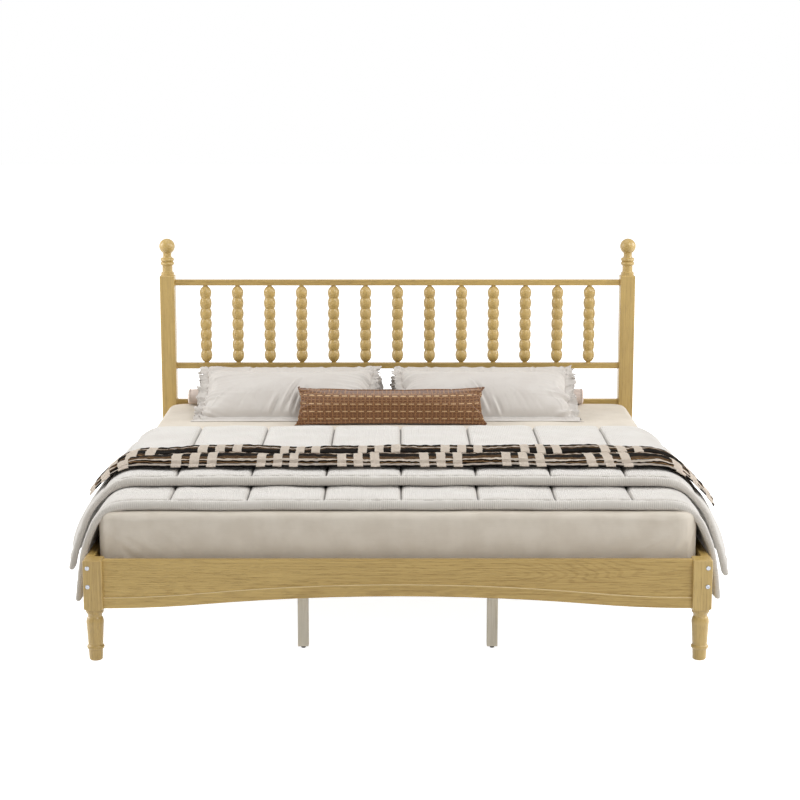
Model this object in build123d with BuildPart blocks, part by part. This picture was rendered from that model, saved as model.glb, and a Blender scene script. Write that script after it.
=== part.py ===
from build123d import *
from math import asin, atan2, cos, degrees, radians, sin, sqrt
import os

# A wooden platform bed for a king size mattress, with a spindle headboard and its bedding.
# Lengths are millimetres and angles are degrees. X runs across the bed, to the right as seen
# from the foot end, Y runs from the foot to the head and Z is up from the floor.
# The origin is on the floor in the middle of the footprint.

# Mattress, and the room that the frame leaves round it
mattress_width = 1930
mattress_length = 2000
mattress_depth = 200
mattress_corner_radius = 70
mattress_edge_radius = 40
mattress_side_gap = 9.5
mattress_end_gap = 9
sleeping_base_height = 270

# Clearances
wood_fit = 0.2
drill_clearance = 0.5
soft_gap = 0.3

# Posts
post_side = 62
post_edge_radius = 4
post_top_chamfer = 3
front_post_rise = 2
head_post_height = 1015

# Turned foot of a front post: drops are from its top and heights from the floor
foot_panel_gap = 5.4
foot_shoulder_height = 14
foot_shoulder_start_radius = 29
foot_collar_radius = 28.4
foot_collar_height = 9
foot_cove_radius = 22.5
foot_cove_drop = 23.6
foot_vase_radius = 28.2
foot_vase_drop = 40.6
foot_taper_top_drop = 49.6
foot_taper_top_radius = 27.4
foot_taper_end_radius = 23.8
foot_taper_end_height = 51
foot_ring_radius = 27.9
foot_ring_height = 43.5
foot_ring_width = 15
foot_ankle_radius = 23.2
foot_sole_radius = 21.8
foot_sole_rounding = 6

# Headboard rails
head_rail_depth = 25
head_rail_height = 24.5
head_rail_setback = 18
head_rail_edge_radius = 2.5
top_rail_drop = 43
lower_rail_bottom = 616.5
base_rail_gap = 91
base_rail_height = 60
tenon_length = 20
tenon_depth = 14
tenon_margin = 5

# Spindles
spindle_count = 13
spindle_end_gap = 128
bead_count = 7
bead_end_gap = 9.05
bead_radius = 25
waist_radius = 19.5
spindle_neck_radius = 9.5
spindle_neck_length = 4
spindle_tenon_radius = 6
spindle_tenon_length = 10

# Finials, heights above the top of the post
finial_base_radius = 27.2
finial_base_height = 12
finial_column_radius = 21.5
finial_column_bottom = 18
finial_column_top = 41
finial_ring_radius = 28.5
finial_ring_height = 17
finial_groove_radius = 23.3
finial_neck_radius = 19
finial_neck_waist_radius = 17.6
finial_neck_height = 20
finial_ball_radius = 33
finial_dowel_radius = 5
finial_dowel_length = 60

# Side rails and slat ledges
side_rail_thickness = 27
side_rail_inset = 1.5
side_rail_height = 143
side_rail_above_base = 63
side_rail_edge_radius = 2
ledge_width = 30
ledge_height = 30
ledge_end_gap = 90

# Footboard
footboard_thickness = 21
footboard_setback = 12
footboard_end_height = 159
footboard_arch_rise = 39.5
footboard_arch_turn_share = 0.33
band_proud = 4
band_end_height = 36.5
band_rise = 43
band_edge_radius = 2.5
footboard_tongue_length = 15
footboard_tongue_thickness = 11
footboard_tongue_margin = 12

# Slats
slat_count = 14
slat_width = 70
slat_thickness = 18
slat_end_gap = 2.5
slat_edge_radius = 3

# Centre beams, their legs and their levelling feet
beam_x = 310
beam_width = 35
beam_height = 40
beam_end_gap = 0.5
leg_side = 35
leg_edge_radius = 2
leg_end_inset = 94
leg_foot_gap = 8
leveling_pad_radius = 7.5
leveling_pad_height = 4.5
leveling_pad_rounding = 1.5
leveling_stud_radius = 4
leveling_stud_length = 40
leveling_stud_clearance = 0.3
leveling_bore_depth = 52

# Bolts at the four corners, with a barrel nut each
bolt_radius = 4
bolt_head_radius = 7
bolt_head_height = 3.2
bolt_head_rounding = 1.6
bolt_socket_radius = 2.9
bolt_socket_depth = 2
bolts_above_rail_bottom = (59, 120)
bolt_reach_past_nut = 12
barrel_nut_radius = 6
barrel_nut_length = 18
barrel_nut_inset = 45
barrel_nut_clearance = 0.15
barrel_nut_floor = 5

# Beam hangers, screws and leg bolts
hanger_thickness = 2.5
hanger_reach = 40
hanger_cheek_height = 32
hanger_ear_width = 18
screw_radius = 2
screw_head_radius = 4
screw_head_height = 2.4
screw_clearance = 0.15
hanger_screw_length = 16
slat_screw_length = 40
slat_screw_sink = 0.4
leg_bolt_radius = 4
leg_bolt_in_beam = 30
leg_bolt_in_leg = 40

# Fitted sheet
sheet_thickness = 2

# Quilted comforter, folded double over its head edge
quilt_box = 250
quilt_row = 412
quilt_border = 45
comforter_front_inset = 25
comforter_step_reach = 194
comforter_folded_length = 910
comforter_layer = 37
comforter_quilting_depth = 8
comforter_seam_drop = 5
comforter_edge_drop = 12
comforter_edge_length = 15
comforter_inner_inset = 33
comforter_inner_radius = 57
comforter_rail_gap = 5
comforter_flap_thickness = 33
comforter_flap_spread = 4
lower_shoulder_inset = 75
lower_shoulder_reach = 136
lower_shoulder_drop = 101.6
lower_flap_drop = 327.6
upper_shoulder_inset = 85
upper_shoulder_reach = 153
upper_shoulder_drop = 106
upper_flap_drop = 306.6
upper_flap_spread = 59.5

# Throw blanket, gathered in ridges across the bed
throw_front_setback = 80
throw_width = 350
throw_clearance = 0.6
throw_ridge_height = 24
throw_hem_angle = 62
throw_y_shares = (0, 0.12, 0.25, 0.38, 0.5, 0.63, 0.75, 0.88, 1)
throw_height_shares = (0.25, 1, 0.4, 0.9, 0.38, 1, 0.4, 0.8, 0.25)

# Cushions: stations across half the width, then how full and how long each one is
station_shares = (-1, -0.95, -0.82, -0.5, 0, 0.5, 0.82, 0.95, 1)
fullness_shares = (0.1, 0.38, 0.74, 0.95, 1, 0.95, 0.74, 0.38, 0.1)
length_shares = (1, 0.985, 0.965, 0.945, 0.94, 0.945, 0.965, 0.985, 1)
flange_thickness = 4
flange_fullness_share = 0.02

# Pillows: reach is how far the near edge lies before what it leans on, rise how far it climbs
front_pillow_reach = 190
front_pillow_rise = 129.2
front_pillow_chord = 345
front_pillow_crown = 92
front_pillow_sag = 40
front_pillow_flange = 40
left_pillow_x = -450
right_pillow_x = 360
pillow_width = 700
back_pillow_reach = 200
back_pillow_over_bolster = 19.7
back_pillow_chord = 192
back_pillow_crown = 12
back_pillow_sag = 38
back_pillow_flange = 30
back_pillow_width = 730

# Lumbar cushion
lumbar_x = -28
lumbar_reach = 84
lumbar_width = 765
lumbar_rise = 129.6
lumbar_chord = 190
lumbar_crown = 50
lumbar_sag = 44
lumbar_seam_edge = 3

# Bolster
bolster_x = -50
bolster_head_gap = 5.5
bolster_length = 1675
bolster_radius = 32
bolster_piping_radius = 2.5
bolster_piping_inset = 9

# Places that follow from the sizes above
rail_inner_x = mattress_width / 2 + mattress_side_gap
rail_x = rail_inner_x + side_rail_thickness / 2
rail_outer_x = rail_inner_x + side_rail_thickness
post_outer_x = rail_outer_x + side_rail_inset
post_x = post_outer_x - post_side / 2
post_inner_x = post_outer_x - post_side
post_inner_y = mattress_length / 2 + mattress_end_gap
post_y = post_inner_y + post_side / 2
post_outer_y = post_inner_y + post_side
head_rail_front_y = post_inner_y + head_rail_setback
head_rail_y = head_rail_front_y + head_rail_depth / 2
tenon_reach_x = post_inner_x + tenon_length
panel_back_y = -post_outer_y + footboard_setback + band_proud + footboard_thickness
panel_front_y = panel_back_y - footboard_thickness
spindle_pitch = 2 * (post_inner_x - spindle_end_gap) / (spindle_count - 1)
side_rail_top = sleeping_base_height + side_rail_above_base
side_rail_bottom = side_rail_top - side_rail_height
bolt_heights = [side_rail_bottom + height for height in bolts_above_rail_bottom]
top_rail_bottom = head_post_height - top_rail_drop
base_rail_bottom = side_rail_top + base_rail_gap
spindle_bottom = lower_rail_bottom + head_rail_height
bead_pitch = (top_rail_bottom - spindle_bottom - 2 * bead_end_gap) / bead_count
footboard_top = side_rail_top
footboard_end_bottom = footboard_top - footboard_end_height
front_post_height = footboard_top + front_post_rise
foot_top_height = footboard_end_bottom - foot_panel_gap
foot_cove_height = foot_top_height - foot_cove_drop
foot_vase_height = foot_top_height - foot_vase_drop
foot_taper_top_height = foot_top_height - foot_taper_top_drop
leg_end_y = post_inner_y - leg_end_inset
slat_bottom = sleeping_base_height - slat_thickness
ledge_bottom = slat_bottom - ledge_height
ledge_x = rail_inner_x - ledge_width / 2
ledge_half_length = post_inner_y - ledge_end_gap
slat_half_length = rail_inner_x - slat_end_gap
slat_last_y = ledge_half_length - slat_width / 2
beam_bottom = slat_bottom - beam_height
sheet_gap = soft_gap + sheet_thickness
sheet_top = sleeping_base_height + mattress_depth + sheet_gap
bed_top = sheet_top + soft_gap
lower_layer_top = bed_top + comforter_layer
comforter_top = lower_layer_top + comforter_layer
comforter_front_y = comforter_front_inset - mattress_length / 2
comforter_step_y = comforter_front_y + comforter_step_reach
comforter_head_y = comforter_step_y + comforter_folded_length
comforter_inner_start = mattress_width / 2 - comforter_inner_inset
lower_shoulder_start = mattress_width / 2 - lower_shoulder_inset
upper_shoulder_start = mattress_width / 2 - upper_shoulder_inset
flap_x = rail_outer_x + comforter_rail_gap
flap_hem_x = flap_x + comforter_flap_spread
upper_hem_x = flap_x + upper_flap_spread
lower_hem_height = lower_layer_top - lower_flap_drop
upper_hem_height = comforter_top - upper_flap_drop
throw_front_y = comforter_step_y + throw_front_setback
bolster_height = bed_top + bolster_radius + bolster_piping_radius
bolster_y = mattress_length / 2 - bolster_head_gap - bolster_piping_radius - bolster_radius
back_pillow_y = bolster_y - back_pillow_reach
back_pillow_rise = 2 * (bolster_radius + bolster_piping_radius) + back_pillow_over_bolster
back_pillow_slope = degrees(asin(back_pillow_rise / back_pillow_chord))
front_pillow_y = back_pillow_y - front_pillow_reach
front_pillow_slope = degrees(asin(front_pillow_rise / front_pillow_chord))
lumbar_y = front_pillow_y - lumbar_reach
lumbar_slope = degrees(asin(lumbar_rise / lumbar_chord))
shoulder_turn = 2 * atan2(upper_shoulder_drop, upper_shoulder_reach)
shoulder_radius = upper_shoulder_reach / sin(shoulder_turn)
sides = {"left": -1, "right": 1}
spindle_xs = [spindle_pitch * (i - (spindle_count - 1) / 2) for i in range(spindle_count)]
slat_pitch = 2 * slat_last_y / (slat_count - 1)
slat_ys = [-slat_last_y + slat_pitch * i for i in range(slat_count)]
leg_rows = {"foot": -leg_end_y, "middle": 0, "head": leg_end_y}

# Every cross piece between the head posts: its lower face and its height
head_cross_pieces = {
    "headboard_top_rail": (top_rail_bottom, head_rail_height),
    "headboard_lower_rail": (lower_rail_bottom, head_rail_height),
    "headboard_base_rail": (base_rail_bottom, base_rail_height),
    "head_cross_rail": (side_rail_bottom, side_rail_height),
}

downward = (Align.CENTER, Align.CENTER, Align.MAX)
upward = (Align.CENTER, Align.CENTER, Align.MIN)


def write(piece, name):
    """Label one finished piece and write it to its own file."""
    piece.part.label = name
    export_step(piece.part, f"parts/{name}.step")


def upright(x, y):
    """A vertical plane through an upright axis, for the half profile of a turned piece."""
    return Plane(origin=(x, y, 0), x_dir=(1, 0, 0), z_dir=(0, -1, 0))


def side_name(side):
    """The word for a side of the bed, as seen from the foot end."""
    return "left" if side < 0 else "right"


def bolt_planes():
    """The seats of all the corner bolts, each facing out of the post."""
    planes = []
    for side in sides.values():
        for end in (-1, 1):
            for height in bolt_heights:
                seat = (side * rail_x, end * post_outer_y, height)
                planes.append(Plane(origin=seat, x_dir=(1, 0, 0), z_dir=(0, end, 0)))
    return planes


def screw(length, grow=0, mode=Mode.ADD):
    """A countersunk screw head up at each active location, or with grow the hole for it."""
    Cylinder(screw_radius + grow, length, align=downward, mode=mode)
    Cone(screw_radius + grow, screw_head_radius + grow, screw_head_height, align=downward, mode=mode)


def bolt_holes():
    """Drill every corner bolt's clearance hole out of the piece being built."""
    reach = post_side + barrel_nut_inset + bolt_reach_past_nut + drill_clearance
    with Locations(*bolt_planes()):
        Cylinder(bolt_radius + drill_clearance, reach, align=downward, mode=Mode.SUBTRACT)


def front_post(side):
    """Square front post whose lower end is turned to a vase shaped foot."""
    x = side * post_x
    with BuildPart() as post:
        with BuildSketch(Plane.XY.offset(foot_top_height)):
            with Locations((x, -post_y)):
                RectangleRounded(post_side, post_side, post_edge_radius)
        extrude(amount=front_post_height - foot_top_height)
        chamfer(post.faces().sort_by(Axis.Z)[-1].edges(), post_top_chamfer)
        # The corners of the square sweep in to the round foot
        corner = post_side
        with BuildSketch(upright(x, -post_y)):
            with BuildLine():
                Polyline(
                    (0, front_post_height),
                    (0, foot_top_height),
                    (foot_shoulder_start_radius, foot_top_height),
                )
                TangentArc(
                    (foot_shoulder_start_radius, foot_top_height),
                    (corner * sqrt(0.5), foot_top_height + foot_shoulder_height),
                    tangent=(1, 0),
                )
                Polyline(
                    (corner * sqrt(0.5), foot_top_height + foot_shoulder_height),
                    (corner * sqrt(0.5), front_post_height),
                    (0, front_post_height),
                )
            make_face()
        revolve(axis=Axis((x, -post_y, 0), (0, 0, 1)), mode=Mode.INTERSECT)
        with BuildSketch(upright(x, -post_y)):
            with BuildLine():
                foot_outline()
            make_face()
        revolve(axis=Axis((x, -post_y, 0), (0, 0, 1)))
        footboard_tongue(side, wood_fit, Mode.SUBTRACT)
        bolt_holes()
    write(post, f"front_post_{side_name(side)}")


def foot_outline():
    """Half outline of the turned foot, from the floor to the square of the post."""
    collar_bottom = foot_top_height - foot_collar_height
    ring_bottom = foot_ring_height - foot_ring_width / 2
    Line((0, 0), (foot_sole_radius - foot_sole_rounding, 0))
    TangentArc(
        (foot_sole_radius - foot_sole_rounding, 0),
        (foot_sole_radius, foot_sole_rounding),
        tangent=(1, 0),
    )
    Line((foot_sole_radius, foot_sole_rounding), (foot_ankle_radius, ring_bottom))
    ThreePointArc(
        (foot_ankle_radius, ring_bottom),
        (foot_ring_radius, foot_ring_height),
        (foot_taper_end_radius, foot_taper_end_height),
    )
    Line(
        (foot_taper_end_radius, foot_taper_end_height),
        (foot_taper_top_radius, foot_taper_top_height),
    )
    ThreePointArc(
        (foot_taper_top_radius, foot_taper_top_height),
        (foot_vase_radius, foot_vase_height),
        (foot_cove_radius, foot_cove_height),
    )
    TangentArc(
        (foot_cove_radius, foot_cove_height),
        (foot_collar_radius, collar_bottom),
        tangent=(0, 1),
    )
    Polyline(
        (foot_collar_radius, collar_bottom),
        (foot_collar_radius, foot_top_height),
        (0, foot_top_height),
        (0, 0),
    )


def headboard_post(side):
    """Square head post with mortises for the cross pieces and a hole for the finial's dowel."""
    with BuildPart() as post:
        with BuildSketch():
            with Locations((side * post_x, post_y)):
                RectangleRounded(post_side, post_side, post_edge_radius)
        extrude(amount=head_post_height)
        chamfer(post.faces().sort_by(Axis.Z)[-1].edges(), post_top_chamfer)
        chamfer(post.faces().sort_by(Axis.Z)[0].edges(), post_top_chamfer)
        for bottom, height in head_cross_pieces.values():
            head_tenon(bottom, height, wood_fit, Mode.SUBTRACT)
        with Locations((side * post_x, post_y, head_post_height)):
            Cylinder(
                finial_dowel_radius + wood_fit,
                finial_dowel_length / 2 + wood_fit,
                align=downward,
                mode=Mode.SUBTRACT,
            )
        bolt_holes()
    write(post, f"headboard_post_{side_name(side)}")


def head_tenon(bottom, height, grow=0, mode=Mode.ADD):
    """The tenons of one cross piece, right through it, or with grow its mortises."""
    with Locations((0, head_rail_y, bottom + height / 2)):
        Box(
            2 * (tenon_reach_x + grow),
            tenon_depth + 2 * grow,
            height - 2 * tenon_margin + 2 * grow,
            mode=mode,
        )


def head_cross_piece(name):
    """A straight piece between the head posts, with a tenon at each end."""
    bottom, height = head_cross_pieces[name]
    with BuildPart() as piece:
        with Locations((0, head_rail_y, bottom + height / 2)):
            Box(2 * post_inner_x, head_rail_depth, height)
        fillet(piece.edges().filter_by(Axis.X), head_rail_edge_radius)
        head_tenon(bottom, height)
        if name == "headboard_top_rail":
            spindle_holes(top_rail_bottom, upward)
        if name == "headboard_lower_rail":
            spindle_holes(spindle_bottom, downward)
        if name == "head_cross_rail":
            hanger_screws_at(1, screw_clearance, Mode.SUBTRACT)
    write(piece, name)


def spindle_holes(height, way):
    """Blind holes for the spindles' end tenons."""
    with Locations(*[(x, head_rail_y, height) for x in spindle_xs]):
        Cylinder(
            spindle_tenon_radius + wood_fit,
            spindle_tenon_length + wood_fit,
            align=way,
            mode=Mode.SUBTRACT,
        )


def spindle(number, x):
    """One turned spindle, a string of beads between the two upper rails."""
    bottom = spindle_bottom
    top = top_rail_bottom
    half = bead_pitch / 2
    centre = (bottom + top) / 2
    beads = [centre + bead_pitch * (i - (bead_count - 1) / 2) for i in range(bead_count)]
    with BuildPart() as turned:
        with BuildSketch(upright(x, head_rail_y)):
            with BuildLine():
                Polyline(
                    (0, bottom - spindle_tenon_length),
                    (spindle_tenon_radius, bottom - spindle_tenon_length),
                    (spindle_tenon_radius, bottom),
                    (spindle_neck_radius, bottom),
                    (spindle_neck_radius, bottom + spindle_neck_length),
                )
                for z in beads:
                    first, last = z == beads[0], z == beads[-1]
                    lower = (spindle_neck_radius, bottom + spindle_neck_length)
                    upper = (spindle_neck_radius, top - spindle_neck_length)
                    lower = lower if first else (waist_radius, z - half)
                    upper = upper if last else (waist_radius, z + half)
                    TangentArc((bead_radius, z), lower, tangent=(0, -1))
                    TangentArc((bead_radius, z), upper, tangent=(0, 1))
                Polyline(
                    (spindle_neck_radius, top - spindle_neck_length),
                    (spindle_neck_radius, top),
                    (spindle_tenon_radius, top),
                    (spindle_tenon_radius, top + spindle_tenon_length),
                    (0, top + spindle_tenon_length),
                    (0, bottom - spindle_tenon_length),
                )
            make_face()
        revolve(axis=Axis((x, head_rail_y, 0), (0, 0, 1)))
    write(turned, f"spindle_{number:02d}")


def finial(side):
    """Turned finial with two rings and a ball, dowelled to the post's top."""
    x = side * post_x
    base = head_post_height
    column_top = base + finial_column_top
    groove = column_top + finial_ring_height
    neck = groove + finial_ring_height
    ball_bottom = neck + finial_neck_height
    ball_z = ball_bottom + sqrt(finial_ball_radius**2 - finial_neck_radius**2)
    with BuildPart() as turned:
        with BuildSketch(upright(x, post_y)):
            with BuildLine():
                Polyline(
                    (0, base),
                    (finial_base_radius, base),
                    (finial_base_radius, base + finial_base_height),
                )
                TangentArc(
                    (finial_column_radius, base + finial_column_bottom),
                    (finial_base_radius, base + finial_base_height),
                    tangent=(0, -1),
                )
                Line(
                    (finial_column_radius, base + finial_column_bottom),
                    (finial_column_radius, column_top),
                )
                ThreePointArc(
                    (finial_column_radius, column_top),
                    (finial_ring_radius, column_top + finial_ring_height / 2),
                    (finial_groove_radius, groove),
                )
                ThreePointArc(
                    (finial_groove_radius, groove),
                    (finial_ring_radius, groove + finial_ring_height / 2),
                    (finial_neck_radius, neck),
                )
                ThreePointArc(
                    (finial_neck_radius, neck),
                    (finial_neck_waist_radius, neck + finial_neck_height / 2),
                    (finial_neck_radius, ball_bottom),
                )
                ThreePointArc(
                    (finial_neck_radius, ball_bottom),
                    (finial_ball_radius, ball_z),
                    (0, ball_z + finial_ball_radius),
                )
                Line((0, ball_z + finial_ball_radius), (0, base))
            make_face()
        revolve(axis=Axis((x, post_y, 0), (0, 0, 1)))
        with Locations((x, post_y, base)):
            Cylinder(
                finial_dowel_radius + wood_fit,
                finial_dowel_length / 2 + wood_fit,
                align=upward,
                mode=Mode.SUBTRACT,
            )
    write(turned, f"finial_{side_name(side)}")


def finial_dowels():
    """The two dowels that join the finials to the posts."""
    with BuildPart() as dowels:
        with Locations(*[(side * post_x, post_y, head_post_height) for side in sides.values()]):
            Cylinder(finial_dowel_radius, finial_dowel_length)
    write(dowels, "finial_dowels")


def footboard_tongue(side, grow=0, mode=Mode.ADD):
    """The tongue at one end of the footboard, or with grow its groove in the post."""
    bottom = footboard_end_bottom + footboard_tongue_margin
    height = footboard_top - footboard_tongue_margin - bottom
    with Locations((side * post_inner_x, panel_back_y - footboard_thickness / 2, bottom + height / 2)):
        Box(
            2 * (footboard_tongue_length + grow),
            footboard_tongue_thickness + 2 * grow,
            height + 2 * grow,
            mode=mode,
        )


def arch(end_height, middle_height):
    """Half of an arch from the post to the middle: two arcs that run into each other."""
    turn = footboard_arch_turn_share
    rise = middle_height - end_height
    meeting = (post_inner_x * (1 - turn), end_height + rise * turn)
    TangentArc((post_inner_x, end_height), meeting, tangent=(-1, 0))
    TangentArc((0, middle_height), meeting, tangent=(1, 0))


def footboard():
    """Low footboard panel with an arched lower edge and a raised band that follows it."""
    bottom_mid = footboard_end_bottom + footboard_arch_rise
    band_end = footboard_end_bottom + band_end_height
    band_mid = band_end + band_rise
    with BuildPart() as panel:
        with BuildSketch(Plane.XZ.offset(-panel_back_y)):
            with BuildLine():
                Line((0, footboard_top), (post_inner_x, footboard_top))
                Line((post_inner_x, footboard_top), (post_inner_x, footboard_end_bottom))
                arch(footboard_end_bottom, bottom_mid)
                mirror(about=Plane.YZ)
            make_face()
        extrude(amount=footboard_thickness)
        with BuildSketch(Plane.XZ.offset(-panel_front_y)):
            with BuildLine():
                Line((post_inner_x, band_end), (post_inner_x, footboard_end_bottom))
                arch(band_end, band_mid)
                arch(footboard_end_bottom, bottom_mid)
                mirror(about=Plane.YZ)
            make_face()
        extrude(amount=band_proud)
        front_edges = panel.faces().sort_by(Axis.Y)[0].edges()
        fillet(front_edges.filter_by(GeomType.CIRCLE).sort_by(Axis.Z)[-4:], band_edge_radius)
        for side in sides.values():
            footboard_tongue(side)
        hanger_screws_at(-1, screw_clearance, Mode.SUBTRACT)
    write(panel, "footboard_panel")


def side_rail(side):
    """Long side rail with bolt holes in its ends and barrel nut holes in its inner face."""
    with BuildPart() as rail:
        with Locations((side * rail_x, 0, side_rail_bottom + side_rail_height / 2)):
            Box(side_rail_thickness, 2 * post_inner_y, side_rail_height)
        fillet(rail.edges().filter_by(Axis.Y), side_rail_edge_radius)
        bolt_holes()
        depth = side_rail_thickness - barrel_nut_floor
        for plane in nut_planes(side, rail_inner_x):
            with Locations(plane):
                Cylinder(
                    barrel_nut_radius + barrel_nut_clearance,
                    depth,
                    align=upward,
                    mode=Mode.SUBTRACT,
                )
    write(rail, f"side_rail_{side_name(side)}")


def nut_planes(side, inner_x):
    """Where the barrel nuts of one side enter, each facing into the rail."""
    planes = []
    for end in (-1, 1):
        for height in bolt_heights:
            mouth = (side * inner_x, end * (post_inner_y - barrel_nut_inset), height)
            planes.append(Plane(origin=mouth, x_dir=(0, 1, 0), z_dir=(side, 0, 0)))
    return planes


def slat_ledge(side):
    """Ledge inside a side rail that carries the slats' ends."""
    with BuildPart() as ledge:
        with Locations((side * ledge_x, 0, slat_bottom)):
            Box(ledge_width, 2 * ledge_half_length, ledge_height, align=downward)
        slat_screws_on((side,), screw_clearance, Mode.SUBTRACT)
    write(ledge, f"slat_ledge_{side_name(side)}")


def slat_screws_on(which_sides, grow=0, mode=Mode.ADD):
    """The screws through the slats' ends on the given sides, or their holes."""
    top = sleeping_base_height - slat_screw_sink
    with Locations(*[(side * ledge_x, y, top) for side in which_sides for y in slat_ys]):
        screw(slat_screw_length, grow, mode)


def slats():
    """All the slats, each a separate board with a countersunk hole at each end."""
    with BuildPart() as boards:
        with Locations(*[(0, y, slat_bottom + slat_thickness / 2) for y in slat_ys]):
            Box(2 * slat_half_length, slat_width, slat_thickness)
        fillet(boards.edges().filter_by(Axis.X).group_by(Axis.Z)[-1], slat_edge_radius)
        slat_screws_on(sides.values(), screw_clearance, Mode.SUBTRACT)
        # The recess over each sunk screw head
        with Locations(*[(side * ledge_x, y, sleeping_base_height) for side in sides.values() for y in slat_ys]):
            Cylinder(
                screw_head_radius + screw_clearance,
                slat_screw_sink,
                align=downward,
                mode=Mode.SUBTRACT,
            )
    write(boards, "slats")


def slat_screws():
    """The screws that hold the slats to the ledges."""
    with BuildPart() as screws:
        slat_screws_on(sides.values())
    write(screws, "slat_screws")


def center_beam(side):
    """Lengthwise beam under the slats, from the footboard to the head cross rail."""
    start = panel_back_y + beam_end_gap
    end = head_rail_front_y - beam_end_gap
    with BuildPart() as beam:
        with Locations((side * beam_x, (start + end) / 2, slat_bottom)):
            Box(beam_width, end - start, beam_height, align=downward)
        with Locations(*[(side * beam_x, y, beam_bottom) for y in leg_rows.values()]):
            Cylinder(
                leg_bolt_radius + wood_fit,
                leg_bolt_in_beam + wood_fit,
                align=upward,
                mode=Mode.SUBTRACT,
            )
    write(beam, f"center_beam_{side_name(side)}")


def center_leg(side, row, y):
    """Square centre leg, bored above for its bolt and below for its levelling foot."""
    with BuildPart() as leg:
        with BuildSketch(Plane.XY.offset(leg_foot_gap)):
            with Locations((side * beam_x, y)):
                RectangleRounded(leg_side, leg_side, leg_edge_radius)
        extrude(amount=beam_bottom - leg_foot_gap)
        with Locations((side * beam_x, y, beam_bottom)):
            Cylinder(
                leg_bolt_radius + wood_fit,
                leg_bolt_in_leg + wood_fit,
                align=downward,
                mode=Mode.SUBTRACT,
            )
        with Locations((side * beam_x, y, leg_foot_gap)):
            Cylinder(
                leveling_stud_radius + leveling_stud_clearance,
                leveling_bore_depth,
                align=upward,
                mode=Mode.SUBTRACT,
            )
    write(leg, f"center_leg_{row}_{side_name(side)}")


def leveling_foot(side, row, y):
    """Levelling foot: a round pad on a threaded stud that screws into the leg."""
    x = side * beam_x
    with BuildPart() as foot:
        with BuildSketch(Plane.XY):
            with Locations((x, y)):
                Circle(leveling_pad_radius)
        extrude(amount=leveling_pad_height)
        fillet(foot.faces().sort_by(Axis.Z)[-1].edges(), leveling_pad_rounding)
        with Locations((x, y, leveling_pad_height)):
            Cylinder(leveling_stud_radius, leveling_stud_length, align=upward)
    write(foot, f"leveling_foot_{row}_{side_name(side)}")


def leg_bolts():
    """The double ended bolts between the beams and their legs."""
    with BuildPart() as bolts:
        for side in sides.values():
            with Locations(*[(side * beam_x, y, beam_bottom - leg_bolt_in_leg) for y in leg_rows.values()]):
                Cylinder(leg_bolt_radius, leg_bolt_in_leg + leg_bolt_in_beam, align=upward)
    write(bolts, "leg_bolts")


def corner_bolts():
    """All the corner bolts, each with a rounded head and a hexagon socket."""
    shank = post_side + barrel_nut_inset + bolt_reach_past_nut
    with BuildPart() as bolts:
        with Locations(*bolt_planes()):
            Cylinder(bolt_head_radius, bolt_head_height, align=upward)
        outer = bolts.faces().filter_by(Axis.Y).filter_by(lambda f: abs(f.center().Y) > post_outer_y)
        fillet(outer.edges(), bolt_head_rounding)
        with Locations(*bolt_planes()):
            Cylinder(bolt_radius, shank, align=downward)
        for plane in bolt_planes():
            with BuildSketch(plane.offset(bolt_head_height)):
                RegularPolygon(bolt_socket_radius, 6)
        extrude(amount=-bolt_socket_depth, mode=Mode.SUBTRACT)
    write(bolts, "corner_bolts")


def barrel_nuts():
    """All the barrel nuts, each drilled across for its bolt."""
    floor_gap = side_rail_thickness - barrel_nut_floor - barrel_nut_length
    with BuildPart() as nuts:
        for side in sides.values():
            for plane in nut_planes(side, rail_inner_x):
                with Locations(plane.offset(floor_gap)):
                    Cylinder(barrel_nut_radius, barrel_nut_length, align=upward)
        reach = post_side + barrel_nut_inset + 2 * barrel_nut_radius
        with Locations(*bolt_planes()):
            Cylinder(bolt_radius + wood_fit, reach, align=downward, mode=Mode.SUBTRACT)
    write(nuts, "barrel_nuts")


def hanger_screw_planes(end):
    """Where the hangers' screws enter at one end of the bed, each facing the beam."""
    wall = panel_back_y if end < 0 else head_rail_front_y
    across = beam_width / 2 + hanger_thickness + hanger_ear_width / 2
    height = beam_bottom + hanger_cheek_height / 2
    planes = []
    for side in sides.values():
        for way in (-1, 1):
            head = (side * beam_x + way * across, wall - end * hanger_thickness, height)
            planes.append(Plane(origin=head, x_dir=(1, 0, 0), z_dir=(0, -end, 0)))
    return planes


def hanger_screws_at(end, grow=0, mode=Mode.ADD):
    """The screws of the hangers at one end, or with grow their holes."""
    with Locations(*hanger_screw_planes(end)):
        screw(hanger_screw_length, grow, mode)


def beam_hangers():
    """Four bent steel hangers that carry the beams' ends, each with two screwed ears."""
    floor_z = beam_bottom - hanger_thickness / 2
    cheek_x = (beam_width + hanger_thickness) / 2
    ear_x = cheek_x + (hanger_thickness + hanger_ear_width) / 2
    mid_z = beam_bottom + hanger_cheek_height / 2
    with BuildPart() as hangers:
        for end, wall in ((-1, panel_back_y), (1, head_rail_front_y)):
            mid_y = wall - end * hanger_reach / 2
            ear_y = wall - end * hanger_thickness / 2
            for x in (side * beam_x for side in sides.values()):
                with Locations((x, mid_y, floor_z)):
                    Box(beam_width + 2 * hanger_thickness, hanger_reach, hanger_thickness)
                with Locations((x - cheek_x, mid_y, mid_z), (x + cheek_x, mid_y, mid_z)):
                    Box(hanger_thickness, hanger_reach, hanger_cheek_height)
                with Locations((x - ear_x, ear_y, mid_z), (x + ear_x, ear_y, mid_z)):
                    Box(hanger_ear_width, hanger_thickness, hanger_cheek_height)
            hanger_screws_at(end, screw_clearance, Mode.SUBTRACT)
    write(hangers, "beam_hangers")


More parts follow.
